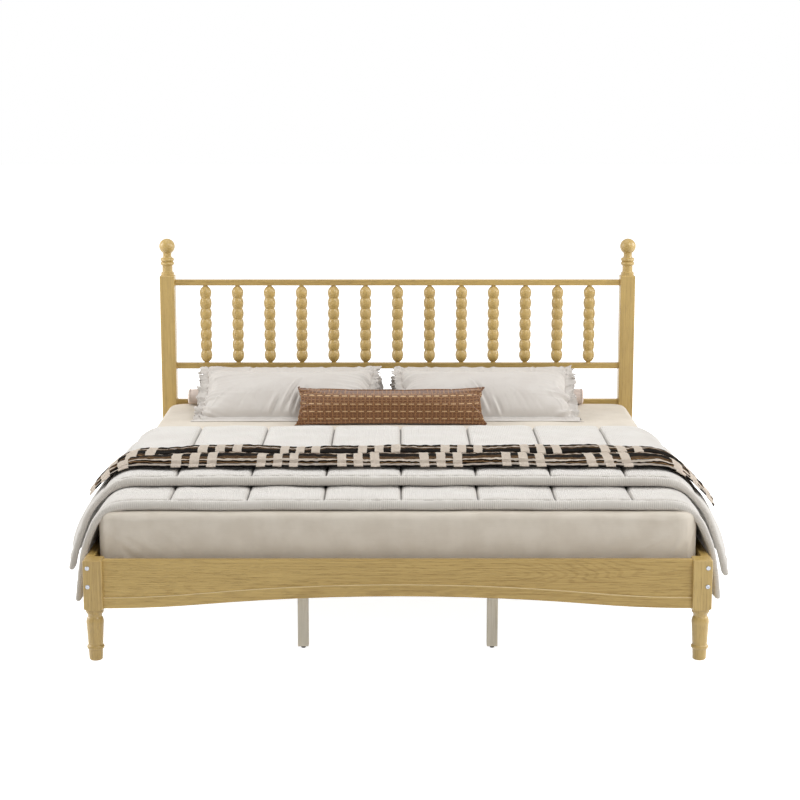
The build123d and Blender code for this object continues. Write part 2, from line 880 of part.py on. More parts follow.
def hanger_screws():
    """The screws of all four beam hangers."""
    with BuildPart() as screws:
        hanger_screws_at(-1)
        hanger_screws_at(1)
    write(screws, "hanger_screws")


def mattress():
    """Foam mattress, lying on the slats."""
    with BuildPart() as block:
        with BuildSketch(Plane.XY.offset(sleeping_base_height)):
            RectangleRounded(mattress_width, mattress_length, mattress_corner_radius)
        extrude(amount=mattress_depth)
        rims = block.faces().sort_by(Axis.Z)
        fillet(rims[-1].edges() + rims[0].edges(), mattress_edge_radius)
    write(block, "mattress")


def mattress_cover(grow, bottom):
    """A mattress shaped block, open below, grown on its sides and top."""
    with BuildPart() as block:
        with BuildSketch(Plane.XY.offset(bottom)):
            RectangleRounded(
                mattress_width + 2 * grow,
                mattress_length + 2 * grow,
                mattress_corner_radius + grow,
            )
        extrude(amount=sleeping_base_height + mattress_depth + grow - bottom)
        fillet(block.faces().sort_by(Axis.Z)[-1].edges(), mattress_edge_radius + grow)
    return block.part


def fitted_sheet():
    """Sheet drawn over the mattress's top and sides, down to where the lower edge turns in."""
    hem = sleeping_base_height + mattress_edge_radius
    outside = mattress_cover(sheet_gap, hem)
    inside = mattress_cover(soft_gap, hem - soft_gap)
    with BuildPart() as sheet:
        add(outside)
        add(inside, mode=Mode.SUBTRACT)
    write(sheet, "fitted_sheet")


def comforter_inside():
    """Inside of the comforter: flat on the sheet, over the mattress's edge and down its flap."""
    shoulder = (comforter_inner_start + comforter_inner_radius, bed_top - comforter_inner_radius)
    Line((0, bed_top), (comforter_inner_start, bed_top))
    TangentArc((comforter_inner_start, bed_top), shoulder, tangent=(1, 0))
    Polyline(shoulder, (flap_x, side_rail_top), (flap_hem_x, lower_hem_height))


def lower_flap(end):
    """The lower layer's hem and the outside of its flap, up to the given end."""
    Polyline(
        (flap_hem_x, lower_hem_height),
        (flap_hem_x + comforter_flap_thickness, lower_hem_height),
        (flap_x + comforter_flap_thickness, side_rail_top),
        end,
    )


def lower_shoulder():
    """Where the outside of the lower layer's shoulder turns down into its flap."""
    return (lower_shoulder_start + lower_shoulder_reach, lower_layer_top - lower_shoulder_drop)


def quilted_top(start_x, height):
    """The quilted outline from the middle to the shoulder, a shallow arch in each box."""
    seams = [i * quilt_box for i in range(int(start_x / quilt_box) + 1)] + [start_x]
    for inner, outer in zip(seams, seams[1:]):
        seam_z = height - comforter_quilting_depth
        ThreePointArc((inner, seam_z), ((inner + outer) / 2, height), (outer, seam_z))


def single_section(y, drop):
    """Section of the comforter where its lower layer lies alone, sunk by drop at a seam."""
    top = lower_layer_top - drop
    seam_z = top - comforter_quilting_depth
    shoulder = lower_shoulder()
    with BuildSketch(Plane.XZ.offset(-y)) as section:
        with BuildLine():
            comforter_inside()
            lower_flap(shoulder)
            TangentArc((lower_shoulder_start, seam_z), shoulder, tangent=(1, 0))
            quilted_top(lower_shoulder_start, top)
            mirror(about=Plane.YZ)
        make_face()
    return section.sketch


def double_section(y, drop):
    """Section of the comforter where it lies double, with a flap of each layer at the side."""
    top = comforter_top - drop
    seam_z = top - comforter_quilting_depth
    shoulder = (upper_shoulder_start + upper_shoulder_reach, comforter_top - upper_shoulder_drop)
    # The two flaps part where the lower one leaves its shoulder
    crotch = lower_shoulder()
    with BuildSketch(Plane.XZ.offset(-y)) as section:
        with BuildLine():
            comforter_inside()
            lower_flap(crotch)
            Polyline(
                crotch,
                (upper_hem_x, upper_hem_height),
                (upper_hem_x + comforter_flap_thickness, upper_hem_height),
                shoulder,
            )
            TangentArc((upper_shoulder_start, seam_z), shoulder, tangent=(1, 0))
            quilted_top(upper_shoulder_start, top)
            mirror(about=Plane.YZ)
        make_face()
    return section.sketch


def border_places(front):
    """Places over a layer's rolled border, from its edge to the seam behind it, and their drops."""
    return [
        (front, comforter_edge_drop),
        (front + comforter_edge_length, 0),
        (front + quilt_border, comforter_seam_drop),
    ]


def upper_places():
    """Places along the upper layer and how far its top is sunk there, from step to head."""
    places = border_places(comforter_step_y)
    seam = comforter_step_y + quilt_border
    while seam + quilt_row < comforter_head_y - quilt_border:
        places.append((seam + quilt_row / 2, 0))
        seam += quilt_row
        places.append((seam, comforter_seam_drop))
    places.append(((seam + comforter_head_y) / 2, 0))
    places.append((comforter_head_y - comforter_edge_length, 0))
    places.append((comforter_head_y, comforter_edge_drop))
    return places


def comforter():
    """Quilted comforter, folded double, its lower layer showing past the upper at the foot end."""
    # The lower layer shows before the step and runs a little way in under the upper one
    lower_places = border_places(comforter_front_y)
    lower_places.append((comforter_front_y + 2 * quilt_border, 0))
    lower_places.append((comforter_step_y + comforter_edge_length, 0))
    with BuildPart() as quilt:
        loft([double_section(y, drop) for y, drop in upper_places()], ruled=True)
        loft([single_section(y, drop) for y, drop in lower_places], ruled=True)
    write(quilt, "comforter")


def throw_section(y, thickness):
    """Section across the throw at one place along the bed."""
    inner_radius = shoulder_radius + throw_clearance
    centre = (upper_shoulder_start, comforter_top - shoulder_radius)
    turn = radians(throw_hem_angle)
    inner_hem = (centre[0] + inner_radius * sin(turn), centre[1] + inner_radius * cos(turn))
    outer_radius = inner_radius + thickness
    outer_hem = (centre[0] + outer_radius * sin(turn), centre[1] + outer_radius * cos(turn))
    inner_z = comforter_top + throw_clearance
    with BuildSketch(Plane.XZ.offset(-y)) as section:
        with BuildLine():
            Line((0, inner_z), (upper_shoulder_start, inner_z))
            TangentArc((upper_shoulder_start, inner_z), inner_hem, tangent=(1, 0))
            Line(inner_hem, outer_hem)
            TangentArc((upper_shoulder_start, inner_z + thickness), outer_hem, tangent=(1, 0))
            Line((0, inner_z + thickness), (upper_shoulder_start, inner_z + thickness))
            mirror(about=Plane.YZ)
        make_face()
    return section.sketch


def throw():
    """Throw blanket across the bed, gathered in ridges and falling over both sides."""
    with BuildPart() as blanket:
        loft(
            [
                throw_section(throw_front_y + throw_width * y_share, throw_ridge_height * height_share)
                for y_share, height_share in zip(throw_y_shares, throw_height_shares)
            ],
            ruled=True,
        )
    write(blanket, "throw")


def cushion_section(plane, chord, drawn_chord, crown, sag, flange):
    """Section of a cushion: the stuffing above and below its chord, and a flange at each end."""
    half = drawn_chord / 2
    edge = chord / 2 + flange
    rise = flange_thickness / 2
    with BuildSketch(plane) as section:
        with BuildLine():
            Polyline((-half, rise), (-edge, rise), (-edge, -rise), (-half, -rise))
            ThreePointArc((-half, -rise), (0, -rise - sag), (half, -rise))
            Polyline((half, -rise), (edge, -rise), (edge, rise), (half, rise))
            ThreePointArc((half, rise), (0, rise + crown), (-half, rise))
        make_face()
    return section.sketch


def cushion(x, width, near, slope, chord, crown, sag, flange):
    """A stuffed cushion with drawn in sides: near is the near edge of its seam, as (y, z)."""
    along = (cos(radians(slope)), sin(radians(slope)))
    centre = (near[0] + along[0] * chord / 2, near[1] + along[1] * chord / 2)
    # The flange goes on past the stuffing at both sides, all but flat
    flange_end = width / 2 + flange
    places = [(-flange_end, flange_fullness_share, 1)]
    for place, full, long in zip(station_shares, fullness_shares, length_shares):
        places.append((place * width / 2, full, long))
    places.append((flange_end, flange_fullness_share, 1))
    sections = []
    for place, full, long in places:
        plane = Plane(origin=(x + place, *centre), x_dir=(0, *along), z_dir=(1, 0, 0))
        sections.append(cushion_section(plane, chord, chord * long, crown * full, sag * full, flange))
    with BuildPart() as pad:
        loft(sections, ruled=True)
    return pad


def flanged_near_edge(y, slope, flange):
    """Near edge of a cushion's seam when the edge of its flange rests on the bed at y."""
    lift = flange_thickness / 2 * cos(radians(slope))
    return (y + flange * cos(radians(slope)), bed_top + lift + flange * sin(radians(slope)))


def pillows():
    """Four flanged pillows: two flat ones against the bolster and two full ones on them."""
    for side, x in ((-1, left_pillow_x), (1, right_pillow_x)):
        near = flanged_near_edge(back_pillow_y, back_pillow_slope, back_pillow_flange)
        back = cushion(
            x,
            back_pillow_width,
            near,
            back_pillow_slope,
            back_pillow_chord,
            back_pillow_crown,
            back_pillow_sag,
            back_pillow_flange,
        )
        write(back, f"back_pillow_{side_name(side)}")
        near = flanged_near_edge(front_pillow_y, front_pillow_slope, front_pillow_flange)
        front = cushion(
            x,
            pillow_width,
            near,
            front_pillow_slope,
            front_pillow_chord,
            front_pillow_crown,
            front_pillow_sag,
            front_pillow_flange,
        )
        write(front, f"front_pillow_{side_name(side)}")


def lumbar_cushion():
    """Long lumbar cushion that leans on the front pillows."""
    pad = cushion(
        lumbar_x,
        lumbar_width,
        flanged_near_edge(lumbar_y, lumbar_slope, lumbar_seam_edge),
        lumbar_slope,
        lumbar_chord,
        lumbar_crown,
        lumbar_sag,
        lumbar_seam_edge,
    )
    write(pad, "lumbar_cushion")


def bolster():
    """Round bolster along the head of the bed, with a piped seam at each end."""
    half = bolster_length / 2
    seam = half - bolster_piping_inset
    inner = (seam - bolster_piping_radius, bolster_radius)
    outer = (seam + bolster_piping_radius, bolster_radius)
    middle = (bolster_x, bolster_y, bolster_height)
    axis_plane = Plane(origin=middle, x_dir=(1, 0, 0), z_dir=(0, -1, 0))
    with BuildPart() as roll:
        with BuildSketch(axis_plane):
            with BuildLine():
                Line((0, bolster_radius), inner)
                ThreePointArc(inner, (seam, bolster_radius + bolster_piping_radius), outer)
                TangentArc((half, 0), outer, tangent=(0, 1))
                mirror(about=Plane.YZ)
                Line((-half, 0), (half, 0))
            make_face()
        revolve(axis=Axis(middle, (1, 0, 0)))
    write(roll, "bolster")


os.makedirs("parts", exist_ok=True)

for side in sides.values():
    headboard_post(side)
    finial(side)
    front_post(side)
    side_rail(side)
    slat_ledge(side)
    center_beam(side)
    for row, y in leg_rows.items():
        center_leg(side, row, y)
        leveling_foot(side, row, y)
for name in head_cross_pieces:
    head_cross_piece(name)
for number, x in enumerate(spindle_xs, start=1):
    spindle(number, x)
footboard()
slats()
corner_bolts()
barrel_nuts()
beam_hangers()
hanger_screws()
finial_dowels()
leg_bolts()
slat_screws()
mattress()
fitted_sheet()
comforter()
throw()
pillows()
lumbar_cushion()
bolster()
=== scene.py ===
"""Looks for a wooden platform bed with a spindle headboard and made up bedding."""

import math
from dataclasses import dataclass

import bpy
import numpy as np
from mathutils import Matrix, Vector


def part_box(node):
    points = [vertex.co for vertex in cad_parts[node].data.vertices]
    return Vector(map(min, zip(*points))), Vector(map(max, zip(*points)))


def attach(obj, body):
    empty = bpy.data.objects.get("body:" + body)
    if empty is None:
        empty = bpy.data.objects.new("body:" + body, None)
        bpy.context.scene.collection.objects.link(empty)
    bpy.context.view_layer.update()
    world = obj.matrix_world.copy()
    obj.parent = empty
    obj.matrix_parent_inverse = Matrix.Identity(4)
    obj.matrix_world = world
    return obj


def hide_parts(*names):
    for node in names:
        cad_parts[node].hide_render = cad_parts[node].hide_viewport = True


bl_info = {
    "name": "Platform Bed",
    "version": (1, 0, 0),
    "blender": (4, 5, 0),
    "location": "View3D > Sidebar > Bed",
    "description": "Builds the finishes and the bedding of a wooden platform bed",
    "category": "Object",
}

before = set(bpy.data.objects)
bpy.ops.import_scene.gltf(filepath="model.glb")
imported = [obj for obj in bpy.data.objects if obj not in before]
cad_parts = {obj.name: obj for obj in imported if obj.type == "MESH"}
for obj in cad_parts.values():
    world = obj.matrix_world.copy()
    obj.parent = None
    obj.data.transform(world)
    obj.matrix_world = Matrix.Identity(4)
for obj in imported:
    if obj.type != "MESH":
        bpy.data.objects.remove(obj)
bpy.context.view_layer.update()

SIDES = ("left", "right")

# Frame nodes by the way their grain runs
ACROSS_GRAIN = (
    "headboard_top_rail",
    "headboard_lower_rail",
    "headboard_base_rail",
    "head_cross_rail",
)
ALONG_GRAIN = tuple(f"side_rail_{side}" for side in SIDES)
UPRIGHT_GRAIN = (
    *[f"headboard_post_{side}" for side in SIDES],
    *[f"finial_{side}" for side in SIDES],
    *[f"front_post_{side}" for side in SIDES],
    *[f"spindle_{number:02d}" for number in range(1, 14)],
    "finial_dowels",
)
PALE_ALONG = (
    *[f"slat_ledge_{side}" for side in SIDES],
    *[f"center_beam_{side}" for side in SIDES],
)
PALE_UPRIGHT = tuple(f"center_leg_{row}_{side}" for row in ("foot", "middle", "head") for side in SIDES)
LEVELING_FEET = tuple(f"leveling_foot_{row}_{side}" for row in ("foot", "middle", "head") for side in SIDES)
STEEL_PARTS = ("corner_bolts", "barrel_nuts", "beam_hangers", "hanger_screws", "leg_bolts", "slat_screws")


def srgb(red, green, blue):
    """A colour given in the bytes that a screen shows, as linear light."""
    values = []
    for byte in (red, green, blue):
        part = byte / 255
        values.append(part / 12.92 if part <= 0.04045 else ((part + 0.055) / 1.055) ** 2.4)
    return tuple(values)


# Shader building blocks


def node(tree, kind, inputs=None, **settings):
    """Adds a node, sets its properties and its sockets, and links any field given as a value."""
    made = tree.nodes.new(kind)
    for key, value in settings.items():
        setattr(made, key, value)
    for key, value in (inputs or {}).items():
        if isinstance(value, Field):
            tree.links.new(value.socket, made.inputs[key])
        else:
            made.inputs[key].default_value = value
    return made


class Field:
    """A value or colour in a shader's node tree. Arithmetic on it adds nodes to that tree."""

    def __init__(self, tree, socket):
        self.tree = tree
        self.socket = socket

    def through(self, kind, inputs, output=0, **settings):
        """One output of a new node in the same tree."""
        return Field(self.tree, node(self.tree, kind, inputs, **settings).outputs[output])

    def math(self, operation, other=0.0, clamp=False):
        """One Math node."""
        return self.through("ShaderNodeMath", {0: self, 1: other}, operation=operation, use_clamp=clamp)

    def __add__(self, other):
        return self.math("ADD", other)

    def __sub__(self, other):
        return self.math("SUBTRACT", other)

    def __mul__(self, other):
        return self.math("MULTIPLY", other)

    def __truediv__(self, other):
        return self.math("DIVIDE", other)

    def wave(self):
        """The sine."""
        return self.math("SINE")

    def cell(self):
        """How far along its own unit cell the value is, from 0 to 1."""
        return self.math("FRACT")

    def from_middle(self):
        """How far the value is from the middle of its unit cell."""
        return (self.cell() - 0.5).math("ABSOLUTE")

    def ramp(self, low, high, low_out=0.0, high_out=1.0):
        """A smooth step between two values."""
        ends = {"Value": self, "From Min": low, "From Max": high, "To Min": low_out, "To Max": high_out}
        return self.through("ShaderNodeMapRange", ends, "Result", interpolation_type="SMOOTHSTEP")

    def band(self, rise, top, fall, foot):
        """1 between two smooth steps, one up and one down, and 0 outside them."""
        return self.ramp(rise, top) * self.ramp(fall, foot, 1.0, 0.0)

    def mix(self, a, b):
        """The colour b where this mask is 1 and a where it is 0. Inputs 6 and 7 are the node's colours."""
        a, b = [color if isinstance(color, Field) else (*color, 1) for color in (a, b)]
        return self.through("ShaderNodeMix", {0: self, 6: a, 7: b}, 2, data_type="RGBA")

    def noise(self, scale=1.0, detail=2.0, roughness=0.5, distortion=0.0):
        """Noise at the place that this vector gives."""
        look = {"Scale": scale, "Detail": detail, "Roughness": roughness, "Distortion": distortion}
        return self.through("ShaderNodeTexNoise", {"Vector": self, **look}, "Fac")

    def scaled(self, *scale):
        """The vector scaled along each of its axes."""
        return self.through("ShaderNodeMapping", {"Vector": self, "Scale": scale}, "Vector")

    def axes(self):
        """The vector's three parts."""
        parts = node(self.tree, "ShaderNodeSeparateXYZ", {0: self})
        return [Field(self.tree, socket) for socket in parts.outputs]

    def into(self, other, name):
        """Links this value to an input of another node."""
        self.tree.links.new(self.socket, other.inputs[name])


def new_group(name, inputs, outputs):
    """A shader node group, as (fields of its inputs, output node). Inputs are (name, type, default)."""
    group = bpy.data.node_groups.new(name, "ShaderNodeTree")
    for socket_name, kind, default in inputs:
        socket = group.interface.new_socket(socket_name, in_out="INPUT", socket_type=f"NodeSocket{kind}")
        if default is not None:
            socket.default_value = default
    for socket_name, kind in outputs:
        group.interface.new_socket(socket_name, in_out="OUTPUT", socket_type=f"NodeSocket{kind}")
    inside = group.nodes.new("NodeGroupInput")
    fields = [Field(group, inside.outputs[socket_name]) for socket_name, _, _ in inputs]
    return fields, group.nodes.new("NodeGroupOutput")


def wood_grain_group():
    """Grain that runs along the vector's X: broad figure, open pores, and a slow change of tone."""
    (vector, light, dark, figure_share, pore_share), outside = new_group(
        "wood grain",
        [
            ("Vector", "Vector", None),
            ("Light", "Color", (0.5, 0.4, 0.2, 1)),
            ("Dark", "Color", (0.3, 0.2, 0.1, 1)),
            ("Figure", "Float", 0.5),
            ("Pores", "Float", 0.5),
        ],
        [("Color", "Color"), ("Height", "Float"), ("Roughness", "Float")],
    )
    rings_per_unit = 260.0
    rings = (vector.scaled(0.5, 9.0, 9.0).noise(1.0, 2.0, 0.4, 0.2) * rings_per_unit).wave()
    patches = vector.scaled(1.2, 9.0, 9.0).noise(1.0, 1.0).ramp(0.42, 0.62, 0.25, 1.0)
    figure = rings.ramp(0.0, 1.0) * patches
    streaks = vector.scaled(3.5, 260.0, 260.0).noise(1.0, 3.0, 0.6)
    fibres = vector.scaled(9.0, 420.0, 420.0).noise(1.0, 2.0, 0.6)
    pores = vector.scaled(22.0, 700.0, 700.0).noise(1.0, 2.0, 0.6).ramp(0.56, 0.68)
    tone = vector.scaled(0.8, 3.0, 3.0).noise(1.0, 1.0)
    darkness = figure * figure_share + streaks.ramp(0.4, 0.75, 0.0, 0.34)
    darkness = darkness + fibres.ramp(0.35, 0.7, -0.06, 0.16) + pores * pore_share
    darkness = darkness.math("ADD", tone.ramp(0.35, 0.7, -0.05, 0.2), clamp=True)
    darkness.mix(light, dark).into(outside, "Color")
    (pores * -1.0 + figure * -0.25).into(outside, "Height")
    darkness.ramp(0.0, 1.0, 0.38, 0.6).into(outside, "Roughness")


def weave_group():
    """Plain weave of threads that cross at right angles, with a few thicker threads."""
    (vector, threads, slub_share), outside = new_group(
        "weave",
        [("Vector", "Vector", None), ("Threads per Metre", "Float", 600.0), ("Slubs", "Float", 0.3)],
        [("Height", "Float"), ("Shade", "Float")],
    )
    turn = threads * math.pi
    waves = [(part * turn).wave() for part in vector.axes()]
    long, short = 9.0, 700.0
    slubs = [
        vector.scaled(*scale).noise(1.0, 1.0).ramp(0.5, 0.8)
        for scale in ((long, short, short), (short, long, short))
    ]
    slubs = (slubs[0] + slubs[1]) * slub_share
    ((waves[0] + waves[1] + waves[2]) * 0.17 + slubs).into(outside, "Height")
    (slubs + vector.noise(9.0, 3.0, 0.6).ramp(0.3, 0.7, -0.5, 0.5)).into(outside, "Shade")


def new_material(name, **inputs):
    """A material with a Principled shader, as (material, shader). Inputs go to the shader's sockets."""
    material = bpy.data.materials.new(name)
    material.use_nodes = True
    tree = material.node_tree
    tree.nodes.clear()
    sockets = {key.replace("_", " "): value for key, value in inputs.items()}
    shader = node(tree, "ShaderNodeBsdfPrincipled", sockets)
    output = tree.nodes.new("ShaderNodeOutputMaterial")
    tree.links.new(shader.outputs["BSDF"], output.inputs["Surface"])
    return material, shader


def coordinates(material, kind="Object"):
    """The object's own coordinates or normal, or the cloth's coordinates in metres, as a field."""
    tree = material.node_tree
    if kind == "cloth":
        return Field(tree, node(tree, "ShaderNodeUVMap", uv_map="cloth").outputs["UV"])
    return Field(tree, node(tree, "ShaderNodeTexCoord").outputs[kind])


def add_bump(shader, height, distance):
    """A bump from a height, into the shader's normal."""
    bump = height.through("ShaderNodeBump", {"Height": height, "Distance": distance}, "Normal")
    bump.into(shader, "Normal")


def wood_material(name, turn, light, dark, figure, pores, coat, painted_highlight=0.0, painted_highlight_color=(1, 1, 1)):
    """Lacquered wood whose grain runs along X after the object's coordinates are turned.

    Below the height given, faces that look up are paler: a painted highlight along the upper edge of the
    footboard's band.
    """
    material, shader = new_material(name, Coat_Weight=coat, Coat_Roughness=0.25)
    place = coordinates(material)
    along = place.through("ShaderNodeMapping", {"Vector": place, "Rotation": turn}, "Vector")
    grain = node(
        material.node_tree,
        "ShaderNodeGroup",
        node_tree=bpy.data.node_groups["wood grain"],
    )
    along.into(grain, "Vector")
    for socket, value in (("Light", (*light, 1)), ("Dark", (*dark, 1)), ("Figure", figure), ("Pores", pores)):
        grain.inputs[socket].default_value = value
    color, height, roughness = [Field(material.node_tree, socket) for socket in grain.outputs]
    # Painted highlight: faces that look up, below the given height, are lightened where light would catch the
    # band's rounded upper edge.
    if painted_highlight:
        facing_up = coordinates(material, "Normal").axes()[2].ramp(0.02, 0.2)
        painted_highlight_mask = facing_up * place.axes()[2].ramp(painted_highlight, painted_highlight + 0.01, 1.0, 0.0)
        color = painted_highlight_mask.mix(color, painted_highlight_color)
    color.into(shader, "Base Color")
    roughness.into(shader, "Roughness")
    add_bump(shader, height, 0.0004)
    return material


def cloth_material(name, color, shade, threads, depth, sheen, kind="Object"):
    """Woven cloth in one colour that clouds towards a second one."""
    material, shader = new_material(name, Roughness=0.85, Sheen_Weight=sheen, Sheen_Roughness=0.4)
    place = coordinates(material, kind)
    weave = node(material.node_tree, "ShaderNodeGroup", node_tree=bpy.data.node_groups["weave"])
    place.into(weave, "Vector")
    weave.inputs["Threads per Metre"].default_value = threads
    height, clouds = [Field(material.node_tree, socket) for socket in weave.outputs]
    clouds.ramp(-0.6, 0.9).mix(color, shade).into(shader, "Base Color")
    add_bump(shader, height, depth)
    return material


def quilt_material(name, color, shade, rib, depth):
    """White cotton woven in fine ribs, in the cloth's own coordinates, with painted shade in the rib hollows
    and along its stitched seams.
    """
    material, shader = new_material(name, Roughness=0.9, Sheen_Weight=0.6, Sheen_Roughness=0.6)
    cloth = coordinates(material, "cloth")
    across, along, _ = cloth.axes()
    turn = 2 * math.pi / rib
    height = (across * turn).wave() * 0.6 + (along * turn).wave() * 0.3
    # Painted shade: the hollows between the ribs are darkened towards the shade colour.
    painted_hollow_shade = height.ramp(-1.0, 1.0, 0.3, 0.0)
    clouds = cloth.noise(7.0, 3.0, 0.6).ramp(0.3, 0.7, 0.0, 0.35)
    cotton = (painted_hollow_shade + clouds).mix(color, shade)
    # Painted shade along the stitched seams, read from the seam distance attribute.
    seam = cloth.through("ShaderNodeAttribute", {}, "Fac", attribute_name="seam")
    painted_seam_shade = seam.ramp(0.0005, 0.0035, 0.7, 0.0)
    painted_seam_shade.mix(cotton, [part * 0.35 for part in shade]).into(shader, "Base Color")
    add_bump(shader, height, depth)
    return material


def plaid_material(name, settings):
    """Woven plaid: dark bands and fine tan lines along the cloth, and threes of cream bars across."""
    material, shader = new_material(name, Roughness=0.95, Specular_IOR_Level=0.1)
    cloth = coordinates(material, "cloth")
    wobble = cloth.noise(60.0, 2.0)
    along, across, _ = cloth.axes()
    along = along + wobble.ramp(0.3, 0.7, -0.0008, 0.0008)
    across = across + wobble.ramp(0.3, 0.7, -0.0012, 0.0012)
    tan_lines = (across / settings.fine_stripe).cell().band(0.5, 0.6, 0.82, 0.92)
    repeat = (across / settings.band_repeat).cell()
    stripes = tan_lines.mix(settings.brown, settings.tan)
    stripes = repeat.band(0.72, 0.73, 0.80, 0.81).mix(stripes, settings.cream)
    stripes = repeat.band(0.03, 0.05, 0.58, 0.6).mix(stripes, settings.black)
    hem = across.band(0.017, 0.019, 0.031, 0.033) * 0.65
    stripes = hem.mix(stripes, settings.cream)
    bar_place = (along / settings.bar_repeat).cell()
    bar_step = settings.bar_pitch / settings.bar_repeat
    bars = bar_place.math("LESS_THAN", 3 * bar_step)
    bars = bars * (bar_place / bar_step).cell().math("LESS_THAN", settings.bar / settings.bar_pitch)
    color = bars.mix(stripes, settings.cream)
    thread = 2 * math.pi / settings.thread
    height = (across * thread).wave() + (along * thread).wave() * 0.6
    flecks = (height + wobble * 2.0).ramp(1.8, 2.8, 0.0, 0.1)
    # Painted shade: the hollows between the threads are darkened towards black.
    painted_hollow_shade = height.ramp(-1.4, -0.2, 0.22, 0.0)
    color = painted_hollow_shade.mix(flecks.mix(color, settings.tan), settings.black)
    color.into(shader, "Base Color")
    add_bump(shader, height, 0.0012)
    return material


def stitched_material(name, settings):
    """Brown cotton with rows of pale dashes and a fine woven grid between them."""
    material, shader = new_material(name, Roughness=0.85, Sheen_Weight=0.25)
    cloth = coordinates(material, "cloth")
    along, across, _ = cloth.axes()
    row = across / settings.row_pitch
    dash = along / settings.dash_pitch
    dashes = row.from_middle().ramp(0.035, 0.06, 1.0, 0.0) * dash.from_middle().ramp(0.3, 0.34, 1.0, 0.0)
    lines = [way.from_middle().ramp(0.3, 0.4) for way in (row * 3.0, dash * 2.0)]
    fuzz = cloth.noise(260.0, 3.0)
    ticks = lines[0].math("MAXIMUM", lines[1]) * fuzz.ramp(0.3, 0.6) * 0.55
    color = fuzz.ramp(0.35, 0.7).mix(settings.brown, settings.light_brown)
    color = dashes.mix(ticks.mix(color, settings.tick), settings.dash)
    color.into(shader, "Base Color")
    add_bump(shader, dashes + ticks * 1.2 + fuzz * 0.3, 0.0012)
    return material


def steel_material(name, color, roughness):
    """Plated steel with fine turning marks."""
    material, shader = new_material(name, Metallic=1.0)
    place = coordinates(material)
    spots = place.noise(160.0, 3.0)
    spots.ramp(0.3, 0.7).mix(color, [part * 0.82 for part in color]).into(shader, "Base Color")
    spots.ramp(0.2, 0.8, roughness * 0.8, roughness * 1.2).into(shader, "Roughness")
    add_bump(shader, place.noise(900.0, 2.0), 0.00005)
    return material


def plastic_material(name, color):
    """Moulded plastic with a fine grained surface."""
    material, shader = new_material(name, Roughness=0.55)
    place = coordinates(material)
    scuffs = place.noise(90.0, 3.0).ramp(0.5, 0.8)
    scuffs.mix(color, [part * 2 + 0.01 for part in color]).into(shader, "Base Color")
    add_bump(shader, place.noise(1500.0, 2.0), 0.0001)
    return material


# Mesh building blocks


def grid_faces(rows, columns, wrap_columns=False):
    """Quads that join the points of a grid, row after row."""
    row = np.arange(rows - 1)[:, None] * columns
    column = np.arange(columns if wrap_columns else columns - 1)[None, :]
    following = (column + 1) % columns
    corners = [row + column, row + following, row + columns + following, row + columns + column]
    return np.stack([corner.ravel() for corner in corners], 1)


def add_piece(name, points, faces, material, uv=None):
    """A smooth mesh object, with its cloth coordinates in metres if they are given."""
    mesh = bpy.data.meshes.new(name)
    corners = [list(map(int, face)) for face in faces]
    mesh.from_pydata(np.asarray(points, float).reshape(-1, 3).tolist(), [], corners)
    if uv is not None:
        layer = mesh.uv_layers.new(name="cloth")
        loops = np.zeros(len(mesh.loops), np.int32)
        mesh.loops.foreach_get("vertex_index", loops)
        layer.data.foreach_set("uv", np.asarray(uv, np.float32).reshape(-1, 2)[loops].ravel())
    mesh.polygons.foreach_set("use_smooth", np.ones(len(mesh.polygons), bool))
    mesh.materials.append(material)
    mesh.update()
    piece = bpy.data.objects.new(name, mesh)
    bpy.context.scene.collection.objects.link(piece)
    return piece


def add_layers(name, top, bottom, cloth, material):
    """A closed piece of cloth from the grids of its upper and lower points."""
    rows, columns = top.shape[:2]
    count = rows * columns
    faces = grid_faces(rows, columns)
    rim = np.concatenate(
        [
            np.arange(columns),
            np.arange(1, rows) * columns + columns - 1,
            (rows - 1) * columns + np.arange(columns - 2, -1, -1),
            np.arange(rows - 2, 0, -1) * columns,
        ]
    )
    following = np.roll(rim, -1)
    sides = np.stack([following, rim, rim + count, following + count], 1)
    everything = np.concatenate([faces, faces[:, ::-1] + count, sides])
    points = np.concatenate([top.reshape(-1, 3), bottom.reshape(-1, 3)])
    return add_piece(name, points, everything, material, np.tile(cloth.reshape(-1, 2), (2, 1)))


def add_shell(name, middle, over, under, cloth, material):
    """A closed shell round a grid of middle points, over and under it by the given thicknesses."""
    normal = np.cross(np.gradient(middle, axis=1), np.gradient(middle, axis=0))
    normal /= np.maximum(np.linalg.norm(normal, axis=2, keepdims=True), 1e-9)
    top, bottom = middle + normal * over[..., None], middle - normal * under[..., None]
    return add_layers(name, top, bottom, cloth, material)


def add_rings(name, rings, material, cloth=None, bottom=True):
    """A piece made of rings, closed by one face at the first of them and, if it has a bottom, at the last."""
    rows, count = rings.shape[:2]
    faces = [*grid_faces(rows, count, wrap_columns=True)[:, ::-1], range(count)]
    if bottom:
        faces.append(range(rows * count - 1, (rows - 1) * count - 1, -1))
    return add_piece(name, rings, faces, material, cloth)


def ripples(x, y, length, seed, count=9):
    """Smooth uneven waves of about the given length, from -1 to 1, the same each run."""
    pick = np.random.default_rng(seed)
    total = np.zeros(np.broadcast(x, y).shape)
    for _ in range(count):
        angle = pick.uniform(0, 2 * math.pi)
        turn = 2 * math.pi / (length * pick.uniform(0.6, 1.7))
        phase = pick.uniform(0, 2 * math.pi)
        total += np.sin(turn * (x * math.cos(angle) + y * math.sin(angle)) + phase)
    return total / math.sqrt(count)


def smooth_step(value, low, high):
    """A smooth rise from 0 at low to 1 at high."""
    share = np.clip((value - low) / (high - low), 0, 1)
    return share * share * (3 - 2 * share)


